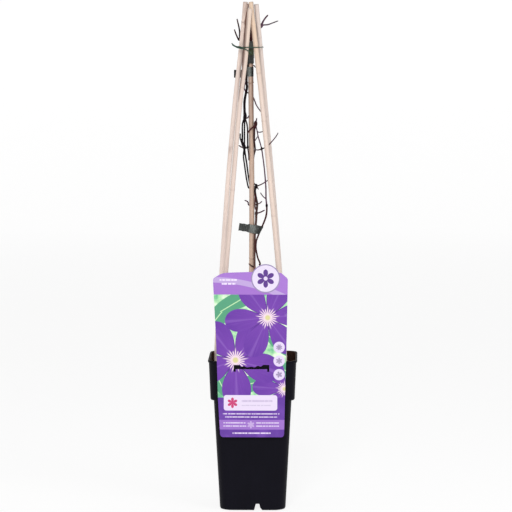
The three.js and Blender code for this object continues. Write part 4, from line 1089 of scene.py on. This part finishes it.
def make_tapes():
    material = tie_tape()
    top = Shape()
    # the top tape's tone, its painted sheen, is higher on its upper part
    wound_tape(top, **TOP_TAPE, tone=lambda x, level: 0.13 + 0.2 * (level > 0.68),
               thickness=turns_of_tape(3, thin=0.45, step=0.45, wrinkle=0.16, slant=0.5, seed=4.0))
    middle = Shape()
    wound_tape(middle, **MIDDLE_TAPE, tone=middle_painted_light, gap=0.05,
               thickness=turns_of_tape(1.6, thin=0.25, step=0.15, wrinkle=0.1, slant=0.6, seed=9.0))
    tape_strip(middle, **MIDDLE_TAIL, thick=TAPE_THICKNESS, pleats=0.08, tone=0)
    low = Shape()
    foot = -LOW_TAPE["height"] / 2

    def follow(points):
        """Slants the band's right end along the strand, and leans the band as it lies on the stems."""
        reach = np.maximum(0, points[..., 0] - END_PULL["start"]) / END_PULL["run"]
        level = (points[..., 2] - foot) / LOW_TAPE["height"]
        x = points[..., 0] + END_PULL["shift"] * reach * (level - 0.5)
        lean = LOW_TAPE["lean"]
        return np.stack([x * math.cos(lean) + points[..., 2] * math.sin(lean), points[..., 1],
                         LOW_TAPE["middle"] + points[..., 2] * math.cos(lean) - x * math.sin(lean)], axis=-1)

    wound_tape(low, LOW_TAPE["circles"], foot, LOW_TAPE["height"], tone=low_painted_light, gap=0.1, shift=follow,
               thickness=turns_of_tape(1.2, thin=0.3, step=0.15, wrinkle=0.2, slant=0.3, seed=2.0))
    tail = Shape()
    tape_strip(tail, [(-6, -2.4, 0), (-12, -2.4, 0), (-19, -2.4, 0)], foot + 0.4, LOW_TAPE["height"] - 1,
               thick=1.0, pleats=0.22, tone=0.22)
    low.add(follow(np.vstack(tail.points)), tail.faces, tone=0.22)
    for node, shape in (("top_tape", top), ("middle_tape", middle), ("low_tape", low)):
        piece = shape.piece(node + "_winding", material)
        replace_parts(piece, node)


def make_wire():
    """The wire drawn round the four sticks and twisted at the left, with a short tail and a tucked end."""
    circles = []
    for stick in STICKS.values():
        path = centripetal(stick["route"])
        x, y = (np.interp(WIRE_LEVEL, path[:, 2], path[:, axis]) for axis in (0, 1))
        circles.append((x, y, STICK_RADIUS))
    wire = Shape()
    line = band_outline(circles, GAP + WIRE_RADIUS, 120)
    sag = [WIRE_LEVEL + 0.25 * rough(0.2 * x, 0.2 * y, 5) for x, y in line]
    loop = np.column_stack([line, sag])
    ahead = np.gradient(np.vstack([loop[-1:], loop, loop[:1]]), axis=0)[1:-1]
    outward = unit(np.column_stack([ahead[:, 1], -ahead[:, 0], np.zeros(len(loop))]))
    turn = around(WIRE_SIDES)
    rings = loop[:, None] + WIRE_RADIUS * (outward[:, None] * np.cos(turn)[:, None]
                                           - np.array([0, 0, 1.0]) * np.sin(turn)[:, None])
    wire.ring_of_rings(rings)
    middle = smooth_path([(-21.4, -4, 609), (-17.6, -9.6, 608.8), (-13.2, -16, 607.6)], 0.35)
    share = np.linspace(0, 1, len(middle))
    for start in (0, math.pi):
        angles = start + 5.5 * math.pi * share
        swing = np.column_stack([0.6 * np.cos(angles), 0.6 * np.cos(angles), np.sin(angles)])
        swell = 0.75 + 0.45 * np.sin(math.pi * share)
        wire.rod(middle + swell[:, None] * swing, WIRE_RADIUS, WIRE_SIDES)
    ends = smooth_path([(-20, -5.6, 609), (-23.8, -3, 610.2), (-27.3, -2, 612.6), (-28.2, -2, 614)], 0.5)
    for side, length in ((-1, 0.86), (1, 1)):
        beside = ends[: round(len(ends) * length)] + side * np.array([0.12, 0, 0.42])
        wire.rod(beside, WIRE_RADIUS * 1.1, WIRE_SIDES)
    tuck = smooth_path([(-13.4, -15.8, 607.6), (-9.9, -18.7, 606.2), (-5, -17.8, 604), (-3.1, -13.8, 602),
                        (-2.6, -10.8, 601)], 0.6)
    wire.rod(tuck, WIRE_RADIUS, WIRE_SIDES)
    piece = wire.piece("wire_tie_twist", tie_wire())
    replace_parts(piece, "wire_tie")


# ---------------- label
def quadratic(start, control, end, count=8):
    """Points on a quadratic curve, both ends among them."""
    share = np.linspace(0, 1, count)[:, None]
    a, b, c = (np.array(p, float) for p in (start, control, end))
    return [tuple(p) for p in (1 - share) ** 2 * a + 2 * share * (1 - share) * b + share**2 * c]


def label_outline():
    """The sheet's edge as (x, height) points, counter-clockwise from the foot's left corner."""
    foot = LABEL_BOTTOM + 4.5
    badge = [(BADGE["x"] + BADGE["radius"] * math.cos(a), BADGE["height"] + BADGE["radius"] * math.sin(a))
             for a in np.linspace(0.416, 2.66, 40)]
    return [
        (-38, LABEL_BOTTOM), *quadratic((37.4, LABEL_BOTTOM), (41.3, LABEL_BOTTOM), (41.6, foot)),
        (42.6, -50), (45, 38), *quadratic((46.3, 107), (46.3, 109), (44.6, 110.6)),
        *quadratic((39, 115.6), (37.4, 117), (34.6, 117))[:-1], *badge,
        *quadratic((-26.5, 117.2), (-37, 117), (-41.4, 115)),
        *quadratic((-49.6, 110.4), (-51.4, 109.2), (-51.3, 107)),
        (-47.8, 38), (-46.4, 2), (-45, -50),
        *quadratic((-42.3, foot), (-41.8, LABEL_BOTTOM), (-38, LABEL_BOTTOM))[:-1],
    ]


def slot_outline():
    """The die-cut slot: a bar with a scalloped top edge and a short leg at each end."""
    left, right, top, waist = (SLOT[key] for key in ("left", "right", "top", "waist"))
    scallops = [(left + 7.6, top, 0), (left + 10, waist - 0.4, 0), (left + 13.6, waist + 0.6, 0),
                (left + 17, waist - 1, 0), (left + 23.3, waist - 0.2, 0), (left + 27.6, waist - 1, 0),
                (left + 31.6, waist + 1, 0), (left + 35.6, waist, 0), (left + 39, top + 0.3, 0)]
    inner = SLOT["leg_width"]
    return [
        (left, SLOT["legs"]), (left, top), *[(x, y) for x, y, _ in smooth_path(scallops, 0.8)], (right, top),
        (right, SLOT["legs"]), (right - inner, SLOT["legs"]), (right - inner, SLOT["bottom"]),
        (left + inner, SLOT["bottom"]), (left + inner, SLOT["legs"]),
    ]


def is_inside(point, outline):
    """Whether a flat point lies in a closed outline."""
    x, y = point
    inside = False
    for (ax, ay), (bx, by) in zip(outline, [*outline[1:], outline[0]]):
        if (ay > y) != (by > y) and x < ax + (bx - ax) * (y - ay) / (by - ay):
            inside = not inside
    return inside


def spaced(outline, step):
    """An outline with points added so that none are further apart than step."""
    points = []
    for a, b in zip(outline, [*outline[1:], outline[0]]):
        parts = max(1, math.ceil(math.dist(a, b) / step))
        points += [(a[0] + (b[0] - a[0]) * i / parts, a[1] + (b[1] - a[1]) * i / parts) for i in range(parts)]
    return points


def flat_sheet(outline, hole, step):
    """Even triangles that fill an outline round a hole: flat points, and faces of them."""
    edge, gap = spaced(outline, step), spaced(hole, step / 2)
    rims = edge + gap
    links = [(i, (i + 1) % len(edge)) for i in range(len(edge))]
    links += [(len(edge) + i, len(edge) + (i + 1) % len(gap)) for i in range(len(gap))]
    low, high = np.min(edge, axis=0), np.max(edge, axis=0)
    inner = [(x, y) for x in np.arange(low[0], high[0], step) for y in np.arange(low[1], high[1], step)
             if is_inside((x, y), outline) and not is_inside((x, y), hole)
             and min(math.dist((x, y), p) for p in rims) > step * 0.6]
    points, _, faces, *_ = delaunay_2d_cdt([Vector(p) for p in rims + inner], links, [], 0, 1e-5)
    kept = []
    for face in faces:
        middle = sum((points[i] for i in face), Vector((0, 0))) / 3
        if is_inside(middle, outline) and not is_inside(middle, hole):
            kept.append(face)
    return [tuple(p) for p in points], kept


def thickened(points, faces, offset):
    """A closed shell: a sheet, its copy moved by offset, and sides between their free edges."""
    count = len(points)
    free = {}
    for face in faces:
        for a, b in zip(face, [*face[1:], face[0]]):
            if free.pop((b, a), None) is None:
                free[(a, b)] = True
    shell = [list(face) for face in faces] + [[i + count for i in reversed(face)] for face in faces]
    shell += [[b, a, a + count, b + count] for a, b in free]
    return np.vstack([points, np.asarray(points) + offset]), shell


def make_label():
    """The printed sheet, slightly bowed, and the tongue that is folded back over the pot's lip."""
    flat, faces = flat_sheet(label_outline(), slot_outline(), SHEET_STEP)
    sheet = np.array([(x, 0, height) for x, height in flat])
    bow = np.column_stack([0 * sheet[:, 0], 0.45 * (sheet[:, 0] / 46) ** 2, 0 * sheet[:, 0]])
    points, shell = thickened(sheet + bow, faces, (0, LABEL_THICKNESS, 0))
    label = Shape()
    label.add(points, shell, np.vstack([sheet, sheet]), np.repeat([1.0, 0.0], len(sheet)))
    tongue_points, tongue_shell = tongue()
    label.add(tongue_points, tongue_shell)
    for block in label.points:
        y, z = block[:, 1].copy(), block[:, 2].copy()
        block[:, 1] = LABEL_FRONT + y * math.cos(LABEL_LEAN) - z * math.sin(LABEL_LEAN)
        block[:, 2] = POT_HEIGHT + y * math.sin(LABEL_LEAN) + z * math.cos(LABEL_LEAN)
    piece = label.piece("label_card", label_print())
    bevelled(piece, "soft_edges", LABEL_EDGE, 60)
    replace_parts(applied(piece), "label")


PRONG_WIDTH = 8.4


def tongue():
    """The tongue cut from the slot: up behind the sheet, over the lip and down as two prongs."""
    back = LABEL_THICKNESS + GAP + 0.3
    lip = GAP + 0.4
    fold = SLOT["top"] + 0.5
    route = [(0, 0.2, fold), (0, back - 0.3, fold + 0.1), (0, back, fold + 0.5), (0, back, lip - 0.5),
             (0, back + 0.5, lip), (0, back + 4.9, lip), (0, back + 5.3, lip - 0.5),
             (0, back + 5.3, lip - 8.4)]
    route = np.array(route, float)
    path = places_on(route, np.arange(0, lengths_along(route)[-1], 0.35))
    across = np.linspace(SLOT["left"] + 0.4, SLOT["right"] - 0.4, 60)
    ahead = np.gradient(path, axis=0)
    normal = unit(np.column_stack([0 * ahead[:, 0], ahead[:, 2], -ahead[:, 1]]))
    grid = [(x, *(p - 0.3 * n)[1:]) for p, n in zip(path, normal) for x in across]
    offset = np.array([0.6 * n for n in normal for _ in across])
    columns = len(across)
    middle, half = (SLOT["right"] + SLOT["left"]) / 2, (SLOT["right"] - SLOT["left"]) / 2
    is_prong = [abs(x - middle) > half - PRONG_WIDTH for x in across]
    faces = []
    for row in range(len(path) - 1):
        for column in range(columns - 1):
            if path[row][1] < back + 4.7 or (is_prong[column] and is_prong[column + 1]):
                start = row * columns + column
                faces.append([start, start + 1, start + columns + 1, start + columns])
    points, shell = thickened(np.array(grid), faces, offset)
    used = sorted({corner for face in shell for corner in face})
    number = {corner: index for index, corner in enumerate(used)}
    return points[used], [[number[corner] for corner in face] for face in shell]


# ---------------- stage
COVE_FLOOR = 4.6  # metres, as all of the stage
COVE_BEND = 1.4
COVE_TOP = 2.4


def make_stage():
    """A round white cove, so that the ground is seamless from every side, with soft light from the front."""
    white = Look("pale_studio", 0.9, Specular_IOR_Level=0.0, Emission_Strength=0.84)
    white.color((148, 148, 148))
    white.skin.inputs["Emission Color"].default_value = (1, 1, 1, 1)
    bend = [(COVE_FLOOR + COVE_BEND * math.sin(a), COVE_BEND * (1 - math.cos(a)))
            for a in np.linspace(0, math.pi / 2, 12)]
    profile = [(0.6, 0), (2, 0), *bend, (COVE_FLOOR + COVE_BEND, COVE_TOP)]
    sides = 96
    points = [(r * math.cos(a), r * math.sin(a), z) for r, z in profile for a in around(sides)]
    faces = [*wall(len(profile), sides), range(sides)[::-1]]
    mesh = bpy.data.meshes.new("studio_cove")
    mesh.from_pydata(points, [], faces)
    mesh.polygons.foreach_set("use_smooth", [True] * len(faces))
    mesh.materials.append(white.material)
    cove = bpy.data.objects.new("studio_cove", mesh)
    bpy.context.scene.collection.objects.link(cove)
    cove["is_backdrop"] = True

    world = bpy.data.worlds.new("studio_air")
    world.use_nodes = True
    air = world.node_tree.nodes["Background"].inputs
    air["Color"].default_value = (1, 1, 1, 1)
    air["Strength"].default_value = 0.15
    bpy.context.scene.world = world
    for name, at, size, power in (
        ("key_light", (-0.25, -3.4, 1.75), 0.9, 58),
        ("fill_light", (2.4, -2.4, 1.1), 1.6, 24),
    ):
        lamp = bpy.data.lights.new(name, "AREA")
        lamp.size = size
        lamp.energy = power
        light = bpy.data.objects.new(name, lamp)
        light.location = at
        light.rotation_euler = (Vector((0, 0, 0.35)) - Vector(at)).to_track_quat("-Z", "Y").to_euler()
        bpy.context.scene.collection.objects.link(light)

    eye = bpy.data.cameras.new("photo_camera")
    eye.lens = CAMERA_LENS
    eye.sensor_width = 36
    camera = bpy.data.objects.new("photo_camera", eye)
    camera.location = CAMERA_AT
    camera.rotation_euler = (Vector(CAMERA_AIM) - Vector(CAMERA_AT)).to_track_quat("-Z", "Y").to_euler()
    bpy.context.scene.collection.objects.link(camera)
    bpy.context.scene.camera = camera
    bpy.context.scene.view_settings.view_transform = "Standard"


make_stage()
make_pot()
make_compost()
make_supports()
make_vine()
make_tapes()
make_wire()
make_label()

boxes = {"cad": cad_bounds, "visual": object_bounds()}
{name: [list(corner) for corner in box] for name, box in boxes.items()}
